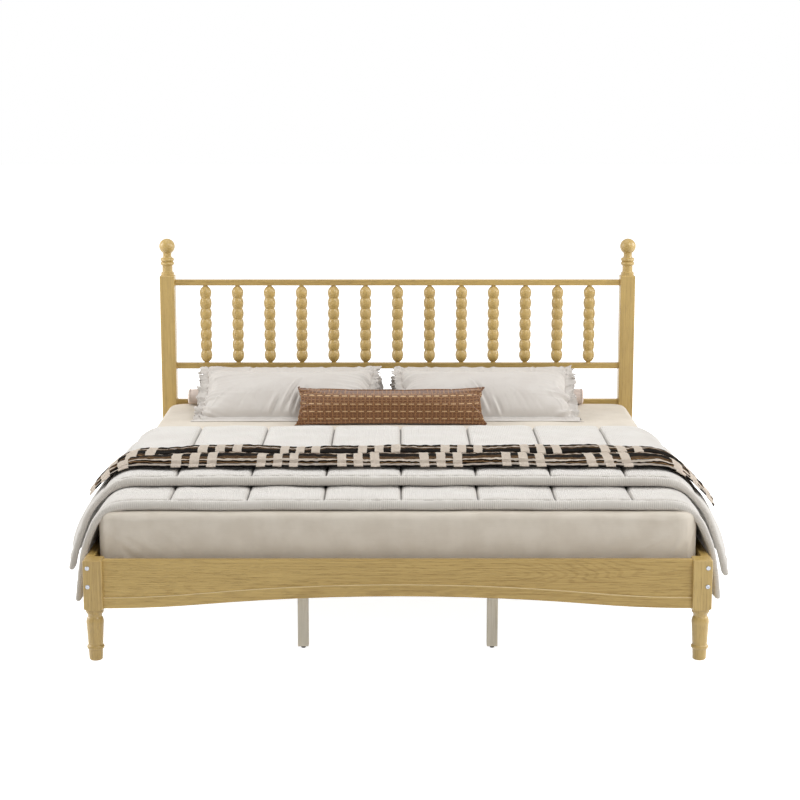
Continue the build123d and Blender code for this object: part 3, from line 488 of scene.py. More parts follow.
def along_line(line, steps, sharpness=3):
    """Evenly spaced points along a line of corners that is rounded a little, with their distances."""
    line = np.asarray(line, float)
    for _ in range(sharpness):
        cut = np.empty((2 * len(line), line.shape[1]))
        cut[0], cut[-1] = line[0], line[-1]
        cut[1:-1:2] = 0.75 * line[:-1] + 0.25 * line[1:]
        cut[2:-1:2] = 0.25 * line[:-1] + 0.75 * line[1:]
        line = cut
    reach = np.concatenate([[0], np.cumsum(np.linalg.norm(np.diff(line, axis=0), axis=1))])
    places = np.linspace(0, reach[-1], steps)
    return np.stack([np.interp(places, reach, line[:, axis]) for axis in range(line.shape[1])], 1), places


# Settings a user would change


def color_setting(name, color, description):
    """A colour property."""
    return bpy.props.FloatVectorProperty(
        name=name, subtype="COLOR", size=3, min=0, max=1, default=color, description=description
    )


def length_setting(name, length, description):
    """A length property."""
    return bpy.props.FloatProperty(name=name, unit="LENGTH", min=0, default=length, description=description)


def power_setting(name, power, description):
    """A lamp's power."""
    return bpy.props.FloatProperty(name=name, unit="POWER", min=0, default=power, description=description)


def angle_setting(name, degrees, description):
    """An angle property, set in degrees."""
    return bpy.props.FloatProperty(
        name=name, subtype="ANGLE", default=math.radians(degrees), description=description
    )


class BedWoodSettings(bpy.types.PropertyGroup):
    """Finish of the wood and the metal."""

    light: color_setting("Wood", srgb(194, 164, 95), "Wood between the grain lines")
    dark: color_setting("Grain", srgb(146, 115, 58), "Wood in the grain lines and pores")
    # Colour of the painted highlight along the upper edge of the footboard's band.
    painted_highlight: color_setting("Painted Highlight", srgb(222, 200, 150), "Upper edge of the footboard's band")
    pale_light: color_setting("Pale Wood", srgb(236, 228, 210), "Unstained wood under the bed")
    pale_dark: color_setting("Pale Grain", srgb(208, 196, 172), "Grain of the unstained wood")
    steel: color_setting("Bolts", srgb(182, 186, 192), "Plated steel")
    foot: color_setting("Levelling Feet", srgb(40, 40, 41), "Moulded feet under the centre legs")


class BeddingSettings(bpy.types.PropertyGroup):
    """Colours of the mattress, sheet, comforter and pillows."""

    mattress: color_setting("Mattress", srgb(226, 224, 218), "Mattress cover")
    sheet: color_setting("Sheet", srgb(217, 208, 194), "Fitted sheet")
    sheet_shade: color_setting("Sheet Shade", srgb(206, 196, 181), "Slow clouds in the sheet")
    quilt: color_setting("Comforter", srgb(210, 205, 197), "Comforter")
    # Also the colour of the painted shade in the rib hollows and, darkened further, along the seams.
    quilt_shade: color_setting("Comforter Shade", srgb(193, 186, 177), "Between the comforter's ribs")
    pillow: color_setting("Pillows", srgb(203, 198, 192), "Pillow cases")
    pillow_shade: color_setting("Pillow Shade", srgb(197, 191, 185), "Slow clouds in the pillow cases")
    bolster: color_setting("Bolster", srgb(228, 213, 203), "Bolster cover")
    bolster_shade: color_setting("Bolster Shade", srgb(208, 192, 182), "Slow clouds in the bolster cover")
    rib: length_setting("Rib", 0.0065, "Width of one rib of the comforter's cloth")
    box: length_setting("Quilt Box", 0.25, "Width of a quilted box across the bed")
    shift: length_setting("Quilt Shift", 0.011, "How far the comforter lies to the right")
    border: length_setting("Quilt Border", 0.03, "Rolled border outside the outermost seam")
    pinch: length_setting("Seam Depth", 0.0105, "How far a seam draws a face of the comforter in")


class ThrowSettings(bpy.types.PropertyGroup):
    """Weave of the throw."""

    black: color_setting("Black", srgb(15, 11, 8), "Broad bands")
    brown: color_setting("Brown", srgb(50, 34, 22), "Dark fine stripes")
    tan: color_setting("Tan", srgb(148, 116, 80), "Pale fine stripes")
    cream: color_setting("Cream", srgb(236, 222, 206), "Bars across")
    bar: length_setting("Bar", 0.031, "Width of one bar")
    bar_pitch: length_setting("Bar Pitch", 0.057, "From one bar of a group to the next")
    bar_repeat: length_setting("Bar Repeat", 0.281, "From one group of bars to the next")
    band_repeat: length_setting("Band Repeat", 0.098, "From one broad band to the next")
    fine_stripe: length_setting("Fine Stripe", 0.0095, "From one fine stripe to the next")
    bar_start: length_setting("Bar Start", 0.203, "How far left of the middle a group of bars begins")
    slip: length_setting("Slip", 0.073, "How far the pattern slips sideways from ridge to ridge")
    set_back: length_setting("Set Back", 0.03, "How far the front edge lies behind its CAD solid")
    thread: length_setting("Thread", 0.0045, "Thickness of a thread")
    flat_width: length_setting("Cut Width", 0.42, "Width of the cloth laid flat")
    flat_length: length_setting("Cut Length", 2.25, "Length of the cloth laid flat")
    thickness: length_setting("Thickness", 0.004, "Thickness of the cloth")


class LumbarSettings(bpy.types.PropertyGroup):
    """Cloth of the lumbar cushion."""

    brown: color_setting("Brown", srgb(85, 50, 22), "Ground")
    light_brown: color_setting("Light Brown", srgb(109, 67, 31), "Flecks in the ground")
    tick: color_setting("Tick", srgb(172, 126, 78), "Fine woven grid")
    dash: color_setting("Dash", srgb(214, 180, 134), "Rows of dashes")
    row_pitch: length_setting("Row Pitch", 0.0285, "From one row of dashes to the next")
    dash_pitch: length_setting("Dash Pitch", 0.0315, "From one dash to the next")


class StageSettings(bpy.types.PropertyGroup):
    """Camera, lamps and background."""

    camera_place: bpy.props.FloatVectorProperty(
        name="Camera Place",
        subtype="TRANSLATION",
        default=(-0.002, -6.810, 1.874),
        description="Where the camera stands",
    )
    camera_down: angle_setting("Camera Tilt", 10.08, "How far it looks down")
    camera_turn: angle_setting("Camera Turn", 0.091, "How far it looks to the right")
    lens: bpy.props.FloatProperty(
        name="Lens", default=83.835, min=10, description="Focal length in millimetres on a 36 mm sensor"
    )
    key_power: power_setting("Key", 172, "Large soft lamp")
    top_power: power_setting("Top", 66, "Lamp over the bed")
    left_power: power_setting("Left", 170, "Lamp on the left")
    right_power: power_setting("Right", 150, "Lamp on the right")
    ambient: bpy.props.FloatProperty(name="Ambient", default=0.4, min=0, description="Light from all round")
    floor: color_setting("Floor", srgb(230, 230, 230), "Floor")


SETTINGS = {
    "bed_wood": BedWoodSettings,
    "bed_linen": BeddingSettings,
    "bed_throw": ThrowSettings,
    "bed_lumbar": LumbarSettings,
    "bed_stage": StageSettings,
}


# Pieces


def dress(names, material):
    """Gives CAD nodes a material."""
    for name in names:
        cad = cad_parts[name]
        cad.data.materials.clear()
        cad.data.materials.append(material)


def padded_piece(piece, stands_for):
    """Hides the node that a stuffed piece stands for, and attaches the piece to the body of that name, which
    it rides.
    """
    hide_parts(stands_for)
    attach(piece, stands_for)


class BED_OT_wood(bpy.types.Operator):
    """Finish the stained frame and the pale supports, with their grain along each piece"""

    bl_idname = "bed.wood"
    bl_label = "Wood"

    def execute(self, context):
        wood = context.scene.bed_wood
        across, upright, along = (0, 0, 0), (0, math.radians(90), 0), (0, 0, math.radians(-90))
        stained = {"light": wood.light, "dark": wood.dark, "pores": 0.3, "coat": 0.15, "figure": 0.2}
        pale = {"light": wood.pale_light, "dark": wood.pale_dark, "pores": 0.2, "coat": 0.0, "figure": 0.4}
        # The footboard's band gets a painted highlight along its upper edge.
        below_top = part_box("footboard_panel")[1][2] - 0.03
        board = {**stained, "painted_highlight": below_top, "painted_highlight_color": wood.painted_highlight}
        turned = {**stained, "figure": 0.09, "coat": 0.45}
        for nodes, name, turn, look in (
            (ACROSS_GRAIN, "stained wood across", across, stained),
            (("footboard_panel",), "stained footboard", across, board),
            (ALONG_GRAIN, "stained wood along", along, stained),
            (UPRIGHT_GRAIN, "stained wood upright", upright, turned),
            (("slats",), "pale wood across", across, pale),
            (PALE_ALONG, "pale wood along", along, pale),
            (PALE_UPRIGHT, "pale wood upright", upright, pale),
        ):
            dress(nodes, wood_material(name, turn, **look))
        return {"FINISHED"}


class BED_OT_hardware(bpy.types.Operator):
    """Finish the bolts, screws, hangers and levelling feet"""

    bl_idname = "bed.hardware"
    bl_label = "Hardware"

    def execute(self, context):
        wood = context.scene.bed_wood
        dress(STEEL_PARTS, steel_material("plated steel", wood.steel, 0.32))
        dress(LEVELING_FEET, plastic_material("moulded foot", wood.foot))
        return {"FINISHED"}


def outline_ring(low, high, radius, steps):
    """Points round a rectangle with rounded corners, evenly spaced, with the way out at each."""
    corner = math.pi / 2 * radius
    lengths = [high[0] - low[0] - 2 * radius, corner, high[1] - low[1] - 2 * radius, corner] * 2
    starts = np.concatenate([[0], np.cumsum(lengths)])
    left, front, right, back = low[0] + radius, low[1] + radius, high[0] - radius, high[1] - radius
    centres = np.array([(right, front), (right, back), (left, back), (left, front)])
    points, ways = [], []
    for place in np.linspace(0, starts[-1], steps, endpoint=False):
        part = int(np.searchsorted(starts, place, side="right") - 1)
        past = place - starts[part]
        quarter, on_corner = divmod(part, 2)
        angle = (quarter - 1) * math.pi / 2 + on_corner * past / radius
        way = np.array([math.cos(angle), math.sin(angle)])
        ahead = np.array([-way[1], way[0]]) * past * (1 - on_corner)
        points.append(centres[quarter - 1 + on_corner] + radius * way + ahead)
        ways.append(way)
    return np.array(points), np.array(ways)


def rounded_block_rings(low, high, corner, edge, bottom_edge, steps):
    """Rings of a block with rounded corners, from the middle of its top down to its lower edge."""
    ring, way = outline_ring(low, high, corner, steps)
    centre = (np.array(low[:2]) + np.array(high[:2])) / 2
    inset = ring - way * edge
    flats = [(centre + (inset - centre) * share, high[2]) for share in np.linspace(0.02, 1, 44) ** 0.8]
    for angle in np.linspace(0, math.pi / 2, 9)[1:]:
        flats.append((ring - way * edge * (1 - math.sin(angle)), high[2] - edge * (1 - math.cos(angle))))
    flats += [(ring, z) for z in np.linspace(high[2] - edge, low[2] + bottom_edge, 14)[1:]]
    if bottom_edge:
        for angle in np.linspace(0, math.pi / 2, 7)[1:]:
            flat = ring - way * bottom_edge * (1 - math.cos(angle))
            flats.append((flat, low[2] + bottom_edge * (1 - math.sin(angle))))
        last = flats[-1][0]
        flats += [(centre + (last - centre) * share, low[2]) for share in np.linspace(1, 0.02, 20)[1:]]
    return np.stack([np.column_stack([flat, np.full(len(flat), z)]) for flat, z in flats]), way


# Folds in the sheet's front: (x, z) of both ends, depth, width
SHEET_FOLDS = (
    ((0.962, 0.445), (0.885, 0.285), 0.004, 0.007),
    ((-0.975, 0.42), (-0.79, 0.29), 0.004, 0.014),
    ((-0.83, 0.45), (-0.66, 0.3), 0.003, 0.02),
    ((0.74, 0.45), (0.62, 0.3), 0.002, 0.02),
)


class BED_OT_mattress(bpy.types.Operator):
    """Mattress with rounded edges, and the fitted sheet drawn over it"""

    bl_idname = "bed.mattress"
    bl_label = "Mattress and Sheet"

    def execute(self, context):
        linen = context.scene.bed_linen
        corner, edge, thickness = 0.07, 0.022, 0.002
        colors = (linen.mattress, linen.mattress)
        cover = cloth_material("mattress knit", *colors, threads=500, depth=0.0006, sheen=0.1)
        rings, _ = rounded_block_rings(*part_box("mattress"), corner, edge, edge, 480)
        mattress = add_rings("mattress_body", rings, cover)
        padded_piece(mattress, "mattress")

        low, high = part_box("fitted_sheet")
        rings, way = rounded_block_rings(low, high, corner + thickness, edge + thickness, 0, 1400)
        rings = self.pull_sheet(rings, way, low, high)
        colors = (linen.sheet, linen.sheet_shade)
        cotton = cloth_material("sheet cotton", *colors, threads=1100, depth=0.0003, sheen=0.1)
        sheet = add_rings("sheet_cloth", rings, cotton, bottom=False)
        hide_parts("fitted_sheet")
        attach(sheet, "mattress")
        return {"FINISHED"}

    def pull_sheet(self, rings, way, low, high):
        """Soft pulls that fan out from the top corners, a corner dart, and a slightly uneven top edge."""
        x, y, z = rings[..., 0], rings[..., 1], rings[..., 2]
        front = smooth_step(-y, -low[1] - 0.05, -low[1] - 0.005)
        lift = np.zeros(x.shape)
        top, end = high[2] - 0.03, high[0] - 0.03
        for side in (-1, 1):
            away = end - side * x
            from_corner = np.hypot(away, top - z)
            fan = np.maximum(np.cos(np.arctan2(top - z, away) * 11 + 0.6), 0) ** 3
            fade = smooth_step(from_corner, 0.03, 0.1) * smooth_step(-from_corner, -0.34, -0.12)
            dart = np.exp(-(((away - 0.006) / 0.0035) ** 2)) * smooth_step(top - z, 0.0, 0.03)
            lift += (0.0028 * fan * fade + 0.0022 * dart) * front
        for start, finish, depth, width in SHEET_FOLDS:
            lift += crease(x, z, start, finish, depth, width) * front
        lift += 0.0009 * ripples(x, y + z, 0.16, 3) * smooth_step(high[2] - z, 0.0, 0.03)
        moved = rings.copy()
        moved[..., :2] += way[None] * np.maximum(lift, -0.0005)[..., None]
        moved[..., 2] += smooth_step(z, high[2] - 0.004, high[2]) * 0.0006 * ripples(x, y, 0.22, 4)
        return moved


# The comforter's hanging sides: how far past the side rail, and how far below the layer's middle
LOWER_DRAPE = (
    (-0.165, 0), (-0.105, 0.001), (-0.060, 0.016), (-0.028, 0.049), (-0.010, 0.085), (0.006, 0.125),
)
UPPER_DRAPE = (
    (-0.165, 0), (-0.095, 0.004), (-0.050, 0.0225), (-0.0225, 0.046), (-0.002, 0.069), (0.0215, 0.099),
    (0.037, 0.130), (0.051, 0.168), (0.066, 0.205), (0.082, 0.262), (0.091, 0.306),
)


def two_layer_profiles(steps):
    """Half profiles across the bed of the comforter's lower and upper layer, from the middle out."""
    _, sheet_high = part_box("fitted_sheet")
    comforter_low, comforter_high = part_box("comforter")
    out, _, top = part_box("side_rail_right")[1]
    layer = (comforter_high[2] - sheet_high[2]) / 2
    lower_z = sheet_high[2] + layer / 2
    upper_z = lower_z + layer
    lower = [(0, lower_z), *[(out + past, lower_z - down) for past, down in LOWER_DRAPE]]
    lower += [(out + 0.0165, top), (out + 0.0265, top - 0.065), (out + 0.0365, comforter_low[2] - 0.006)]
    upper = [(0, upper_z), *[(out + past, upper_z - down) for past, down in UPPER_DRAPE]]
    return along_line(lower, steps), along_line(upper, steps)


def close_at_ends(start, stop, steps):
    """Places from start to stop, close together at both ends."""
    share = np.linspace(-1, 1, steps + 1)
    share = 0.14 * share + 0.86 * np.sin(share * math.pi / 2)
    return start + (stop - start) * (share + 1) / 2


def smooth_least(*distances, power=3.0):
    """The least of some distances, rounded off where two are alike."""
    total = sum(np.maximum(distance, 1e-5) ** -power for distance in distances)
    return total ** (-1 / power)


def flap_swing(across, share, y):
    """How far the comforter's hanging sides swing out and down, right more than left."""
    right = smooth_step(across, 0.95, 1.2)
    left = smooth_step(-across, 0.95, 1.2)
    behind = 0.02 * smooth_step(y, -0.76, -0.62) * share
    out = share * (0.012 * right - 0.003 * left) + (1 - share) * 0.003 * right + behind * (right - left)
    down = share * 0.014 * smooth_step(across, 1.0, 1.25)
    return np.stack([out + 0 * y, 0 * out + 0 * y, -down + 0 * y], -1)


class BED_OT_comforter(bpy.types.Operator):
    """Quilted comforter, folded double over its head edge"""

    bl_idname = "bed.comforter"
    bl_label = "Comforter"

    def execute(self, context):
        linen = context.scene.bed_linen
        low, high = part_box("comforter")
        step_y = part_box("throw")[0][1] - 0.08
        layer = (high[2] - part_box("fitted_sheet")[1][2]) / 2
        y, level = self.rows(low[1], step_y, high[1], layer / 2, linen.border)
        along = np.concatenate([[0], np.cumsum(np.hypot(np.diff(y), np.diff(level) * layer))])
        share = level[:, None]
        profile, across = self.columns(linen, share)
        along_grid = along[:, None] + 0 * across
        y_grid = y[:, None] + 0 * across
        middle = np.stack([profile[..., 0], y_grid, profile[..., 1]], 2)
        self.loosen(middle, across, share, y_grid, low[1], step_y)

        to_side = across[:, -1:] - np.abs(across)
        to_end = np.minimum(along, along[-1] - along)[:, None] + 0 * across
        seam = self.seam_distance(linen, across, share, y_grid - step_y, to_end, to_side)
        full = layer / 2 * (1 - 0.34 * smooth_step(np.abs(profile[..., 0]), 0.9, 1.02))
        valley, stitch, hollow = 0.0055, 0.0028, 0.05
        groove = np.exp(-((seam / valley) ** 1.1)) + 0.55 * np.exp(-((seam / stitch) ** 2))
        groove = linen.pinch * (groove + 0.25 * np.exp(-seam / hollow))
        puckers = 0.0013 * ripples(across, along_grid, 0.03, 11) * np.exp(-seam / 0.025)
        slack = 0.0016 * ripples(across, along_grid, 0.16, 12) * smooth_step(seam, 0, 0.05)
        rounding = np.clip(np.minimum(to_side, to_end) / full, 0, 1)
        rounding = np.maximum((1 - (1 - rounding) ** 2.3) ** (1 / 2.3), 0.02)
        quilted = (full - groove - 0.0012 + puckers + slack) * rounding
        plain = full * 0.93 * rounding
        over, under = np.where(share > 0.5, (plain, quilted), (quilted, plain))
        cotton = quilt_material("comforter cotton", linen.quilt, linen.quilt_shade, linen.rib, 0.0008)
        quilt = add_shell("comforter_quilt", middle, over, under, np.stack([across, along_grid], 2), cotton)
        # Distance to the nearest seam, the border seam included, for the painted shade along the seams.
        stitched = quilt.data.attributes.new("seam", "FLOAT", "POINT")
        line = np.minimum(seam, 0.4 * np.abs(to_end - linen.border))
        stitched.data.foreach_set("value", np.tile(line.ravel(), 2).astype(np.float32))
        padded_piece(quilt, "comforter")
        return {"FINISHED"}

    def rows(self, front, step, head, radius, border):
        """Places of the rows along the bed, out to the head and back, and which layer each is in."""
        fold = head - radius
        turn = np.linspace(0, math.pi, 15)
        lower = [
            close_at_ends(front, front + border, 11)[:-1],
            close_at_ends(front + border, step + 0.05, 22)[:-1],
            np.linspace(step + 0.05, fold, 40)[:-1],
        ]
        upper = [
            np.linspace(fold, step + border, 90)[1:-12],
            close_at_ends(step + border + 0.12, step + border, 16),
            close_at_ends(step + border, step, 11)[1:],
        ]
        lower, upper = np.concatenate(lower), np.concatenate(upper)
        upper = np.sort(upper[np.concatenate([[True], np.diff(upper) < -1e-4])])[::-1]
        y = np.concatenate([lower, fold + radius * np.sin(turn), upper])
        level = np.concatenate([0 * lower, (1 - np.cos(turn)) / 2, 0 * upper + 1])
        return y, level

    def columns(self, linen, share):
        """The cross profile of each row, between the layers' profiles, with distances from its middle."""
        halves, reaches = [], []
        for mirror in (-1, 1):
            seams = [mirror * linen.shift + number * linen.box for number in range(5)]
            seams = [0.0, *[place for place in seams if place > 0]]
            (lower, low_reach), (upper, high_reach) = [
                self.half_columns(line, reach, seams, linen.border) for line, reach in two_layer_profiles(700)
            ]
            halves.append(lower[None] * (1 - share[..., None]) + upper[None] * share[..., None])
            reaches.append(low_reach[None] * (1 - share) + high_reach[None] * share)
        profile = np.concatenate([(halves[0] * [-1, 1])[:, :0:-1], halves[1]], axis=1)
        return profile, np.concatenate([-reaches[0][:, :0:-1], reaches[1]], axis=1)

    def half_columns(self, line, reach, seams, border):
        """Points of one half profile, close together at each seam, with their distances."""
        boxes = list(zip(seams, seams[1:]))
        widest = seams[-1] - seams[-2]
        counts = [max(4, round(30 * (stop - start) / widest)) for start, stop in boxes]
        places = [close_at_ends(start, stop, n)[:-1] for (start, stop), n in zip(boxes, counts)]
        places.append(close_at_ends(seams[-1], reach[-1] - border, 20)[:-1])
        places.append(close_at_ends(reach[-1] - border, reach[-1], 11))
        places = np.concatenate(places)
        return np.stack([np.interp(places, reach, line[:, axis]) for axis in range(2)], 1), places

    def seam_distance(self, linen, across, share, behind, to_end, to_side):
        """How far each point is from the nearest stitched seam."""
        cross_seam, far = 0.427, 1.0
        from_column = np.abs(((across - linen.shift) / linen.box + 0.5) % 1 - 0.5) * linen.box
        from_row = np.where(share > 0.5, np.abs(behind - linen.border - cross_seam), far)
        inside = smooth_least(from_column, from_row, to_end - linen.border, to_side - linen.border)
        outside = np.maximum(linen.border - to_end, linen.border - to_side)
        return np.where(outside > 0, outside, inside)

    def loosen(self, middle, across, share, y, front, step):
        """Uneven edges and hems: the upper flap on the right swings out and hangs a little lower."""
        flap = np.maximum(smooth_step(across, 0.95, 1.2), smooth_step(-across, 0.95, 1.2))
        middle += flap_swing(across, share, y)
        middle[..., 0] += np.sign(across) * 0.003 * flap * ripples(0 * across, y, 0.35, 14)
        middle[..., 2] += 0.005 * flap * ripples(across, y, 0.4, 15)
        near_edge = np.exp(-np.abs(y - (front + (step - front) * share)) / 0.05)
        middle[..., 1] += 0.0035 * near_edge * ripples(across, 0 * across, 0.3, 16)
        middle[..., 2] += 0.001 * ripples(across, y, 0.24, 13) * (1 - flap)


# The throw's ridges from its front edge to its back: place and height, both as shares
THROW_RIDGES = (
    (0, 0.22), (0.05, 0.42), (0.12, 0.04), (0.19, 0.78), (0.3, 1.0), (0.44, 0.72),
    (0.55, 0.04), (0.62, 0.7), (0.74, 0.92), (0.87, 0.7), (1, 0.12),
)


class BED_OT_throw(bpy.types.Operator):
    """Woven throw, gathered in ridges across the bed"""

    bl_idname = "bed.throw"
    bl_label = "Throw"

    def execute(self, context):
        throw = context.scene.bed_throw
        low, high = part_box("throw")
        quilt_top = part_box("comforter")[1][2]
        _, (upper, upper_reach) = two_layer_profiles(500)
        layer = (quilt_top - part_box("fitted_sheet")[1][2]) / 2
        end = float(np.interp(high[0] - 0.012, upper[:, 0], upper_reach))
        short_on_left, column_width = 0.04, 0.005
        across = np.arange(-end + short_on_left, end, column_width)
        x, z = [np.interp(np.abs(across), upper_reach, upper[:, axis]) for axis in range(2)]
        profile = np.stack([x * np.sign(across), z], 1)
        slope = np.gradient(profile, across, axis=0)
        way = np.stack([-slope[:, 1], slope[:, 0]], 1)
        way /= np.linalg.norm(way, axis=1, keepdims=True)
        profile = profile + way * (layer / 2 + 0.001)

        rows = 170
        share = np.linspace(0, 1, rows)[:, None] + 0 * across[None]
        along = across[None] + 0 * share
        drift = 0.045 * ripples(along, share * 0.2, 0.8, 21) + 0.02 * ripples(along, share * 0.3, 0.25, 22)
        moved = np.clip(share + drift * np.sin(math.pi * share), 0, 1)
        taper = 1 - 0.55 * smooth_step(np.abs(along), end - 0.3, end)
        height = self.ridges(throw, along, share, moved, taper, high[2] - quilt_top + 0.004)
        lean = -0.012 * np.sin(np.clip((moved - 0.12) / 0.43, 0, 2) * 2 * math.pi) * taper
        y = low[1] + throw.set_back + (high[1] - low[1] - throw.set_back) * share + lean
        y = y + 0.005 * ripples(along, 0 * along, 0.2, 25) * np.abs(share - 0.5) * 2
        x, z = [profile[None, :, axis] + way[None, :, axis] * height for axis in range(2)]
        points = np.stack([x, y, z], 2) + flap_swing(along, 1.0, y)
        lengths = np.linalg.norm(np.diff(points, axis=0), axis=2)
        gathered = np.concatenate([np.zeros((1, len(across))), np.cumsum(lengths, axis=0)])
        skew = 0.008 * ripples(along, share * 0.5, 0.9, 26)
        slipped = throw.slip * smooth_step(moved, 0.5, 0.58)
        cloth = np.stack([along + throw.bar_start + skew - slipped, gathered + 0.012], 2)
        wool = plaid_material("woven plaid", throw)
        half = np.full(height.shape, throw.thickness / 2)
        blanket = add_shell("throw_cloth", points, half, half, cloth, wool)
        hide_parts("throw")
        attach(blanket, "throw")
        return {"FINISHED"}

    def ridges(self, throw, along, share, moved, taper, highest):
        """Height of the cloth over the comforter, from its ridges."""
        ridges = np.zeros(share.shape)
        for (start, low_share), (stop, high_share) in zip(THROW_RIDGES, THROW_RIDGES[1:]):
            rise = low_share + (high_share - low_share) * smooth_step(moved, start, stop)
            ridges = np.where((moved >= start) & (moved <= stop), rise, ridges)
        uneven = np.clip(1 + 0.22 * ripples(along, share * 0.35, 0.35, 23), 0.5, 1.15)
        height = throw.thickness + 0.022 * ridges * uneven * taper
        height += 0.0011 * ripples(along, share * 0.35, 0.04, 24) * np.clip(ridges * 2, 0, 1)
        return np.clip(height, throw.thickness * 0.8, highest)


def blow_up(flat_x, flat_s, inner, pressure, loose):
    """Two sheets sewn along the edge of the inner part and blown up: upper and lower points."""
    rows, columns = flat_x.shape
    count = rows * columns
    upper = np.arange(count).reshape(rows, columns)
    stuffed = inner.copy()
    beside = inner[:-2, 1:-1] & inner[2:, 1:-1] & inner[1:-1, :-2] & inner[1:-1, 2:]
    stuffed[1:-1, 1:-1] &= beside
    stuffed[[0, -1]] = False
    stuffed[:, [0, -1]] = False
    lower = upper.copy()
    lower[stuffed] = count + np.arange(stuffed.sum())
    cells = grid_faces(rows, columns)
    double = inner.ravel()[cells].all(axis=1)
    faces = np.concatenate([cells, lower.ravel()[cells[double][:, ::-1]]])
    lift = np.where(stuffed, 0.001, 0.0)
    start = np.stack([flat_x, flat_s, lift], 2).reshape(-1, 3)
    below = np.stack([flat_x[stuffed], flat_s[stuffed], -lift[stuffed]], 1)
    mesh = bpy.data.meshes.new("sewing")
    mesh.from_pydata(np.concatenate([start, below]).tolist(), [], faces.tolist())
    sewn = bpy.data.objects.new("sewing", mesh)
    bpy.context.scene.collection.objects.link(sewn)
    body = sewn.vertex_groups.new(name="body")
    body.add(np.unique(faces[double.nonzero()[0]]).tolist() + lower[stuffed].tolist(), 1.0, "REPLACE")
    sewn.vertex_groups.new(name="rim").add(upper[~inner].tolist(), 1.0, "REPLACE")
    settings = sewn.modifiers.new("cloth", "CLOTH").settings
    for key, value in {
        "quality": 5,
        "mass": 0.3,
        "tension_stiffness": 15,
        "compression_stiffness": 15,
        "bending_stiffness": 0.05,
        "use_pressure": True,
        "uniform_pressure_force": pressure,
        "vertex_group_pressure": "body",
        "shrink_min": -loose,
        "vertex_group_shrink": "rim",
        "shrink_max": -0.16,
    }.items():
        setattr(settings, key, value)
    settings.effector_weights.gravity = 0
    scene = bpy.context.scene
    frames = 20
    for number in range(1, frames + 1):
        scene.frame_set(number)
    shape = sewn.evaluated_get(bpy.context.evaluated_depsgraph_get())
    found = np.zeros(3 * len(mesh.vertices), np.float32)
    shape.data.vertices.foreach_get("co", found)
    found = found.reshape(-1, 3).astype(float)
    scene.frame_set(1)
    bpy.data.objects.remove(sewn)
    bpy.data.meshes.remove(mesh)
    return found[upper], found[lower]


def finer(grid):
    """A grid with a row put in between each two, on a smooth curve through them."""
    padded = np.concatenate([2 * grid[:1] - grid[1:2], grid, 2 * grid[-1:] - grid[-2:-1]])
    between = (9 * (padded[1:-2] + padded[2:-1]) - padded[:-3] - padded[3:]) / 16
    made = np.empty((2 * len(grid) - 1, *grid.shape[1:]))
    made[::2], made[1::2] = grid, between
    return made


def gather_ends(over, under, flat_x, flat_s, size, flange, depth, seed):
    """Gathers that fan in from both end seams, and the ruffle that they leave in the flange outside."""
    for end in (-1, 1):
        past = end * flat_x - size[0] / 2
        inward = np.maximum(-past, 0)
        spread = flat_s / (1 + 2.5 * inward)
        folds = ripples(spread, 0 * spread, 0.024, seed + end, 14)
        outward = np.clip(past / flange, 0, 1)
        reach = np.clip(0.05 + 0.02 * ripples(flat_s, 0 * flat_s, 0.03, seed + 2 * end), 0.02, 0.08)
        body = 1.9 * depth * folds * np.exp(-inward / reach) * smooth_step(inward, 0.0, 0.01)
        body -= 0.6 * depth * np.exp(-inward / 0.012)
        ruffle = 1.8 * depth * folds * outward**0.7
        tuck = outward * flange * (0.3 + 0.22 * ripples(flat_s, 0 * flat_s, 0.022, seed + 3 * end, 14))
        for sheet in (over, under):
            sheet[..., 0] += end * (0.8 * body * (past <= 0) - tuck)
            sheet[..., 1] += 0.3 * depth * outward * ripples(flat_s, flat_x, 0.02, seed + 4 * end)
            sheet[..., 2] += np.where(past > 0, ruffle, body if sheet is over else 0.0)


def crease(x, s, start, finish, depth, width):
    """A crease along a line on a cushion: a groove with a soft ridge beside it."""
    start, finish = np.array(start), np.array(finish)
    length = np.linalg.norm(finish - start)
    way = (finish - start) / length
    along = (x - start[0]) * way[0] + (s - start[1]) * way[1]
    off = -(x - start[0]) * way[1] + (s - start[1]) * way[0]
    fade = smooth_step(along, -0.02, length * 0.35) * smooth_step(-along, -length - 0.02, -length * 0.55)
    return fade * depth * (np.exp(-((off / width - 1) ** 2)) - np.exp(-((off / width) ** 2)))


@dataclass
class Case:
    """What one stuffed case is like: its slope in degrees, its sizes in metres, and its cloth."""

    slope: float
    depth: float
    flange: float
    crown: float
    sag: float
    draw: tuple
    gathers: float
    loose: float
    cell: float = 0.007
    pressure: float = 5.0
    creases: tuple = ()
    level_rows: bool = False


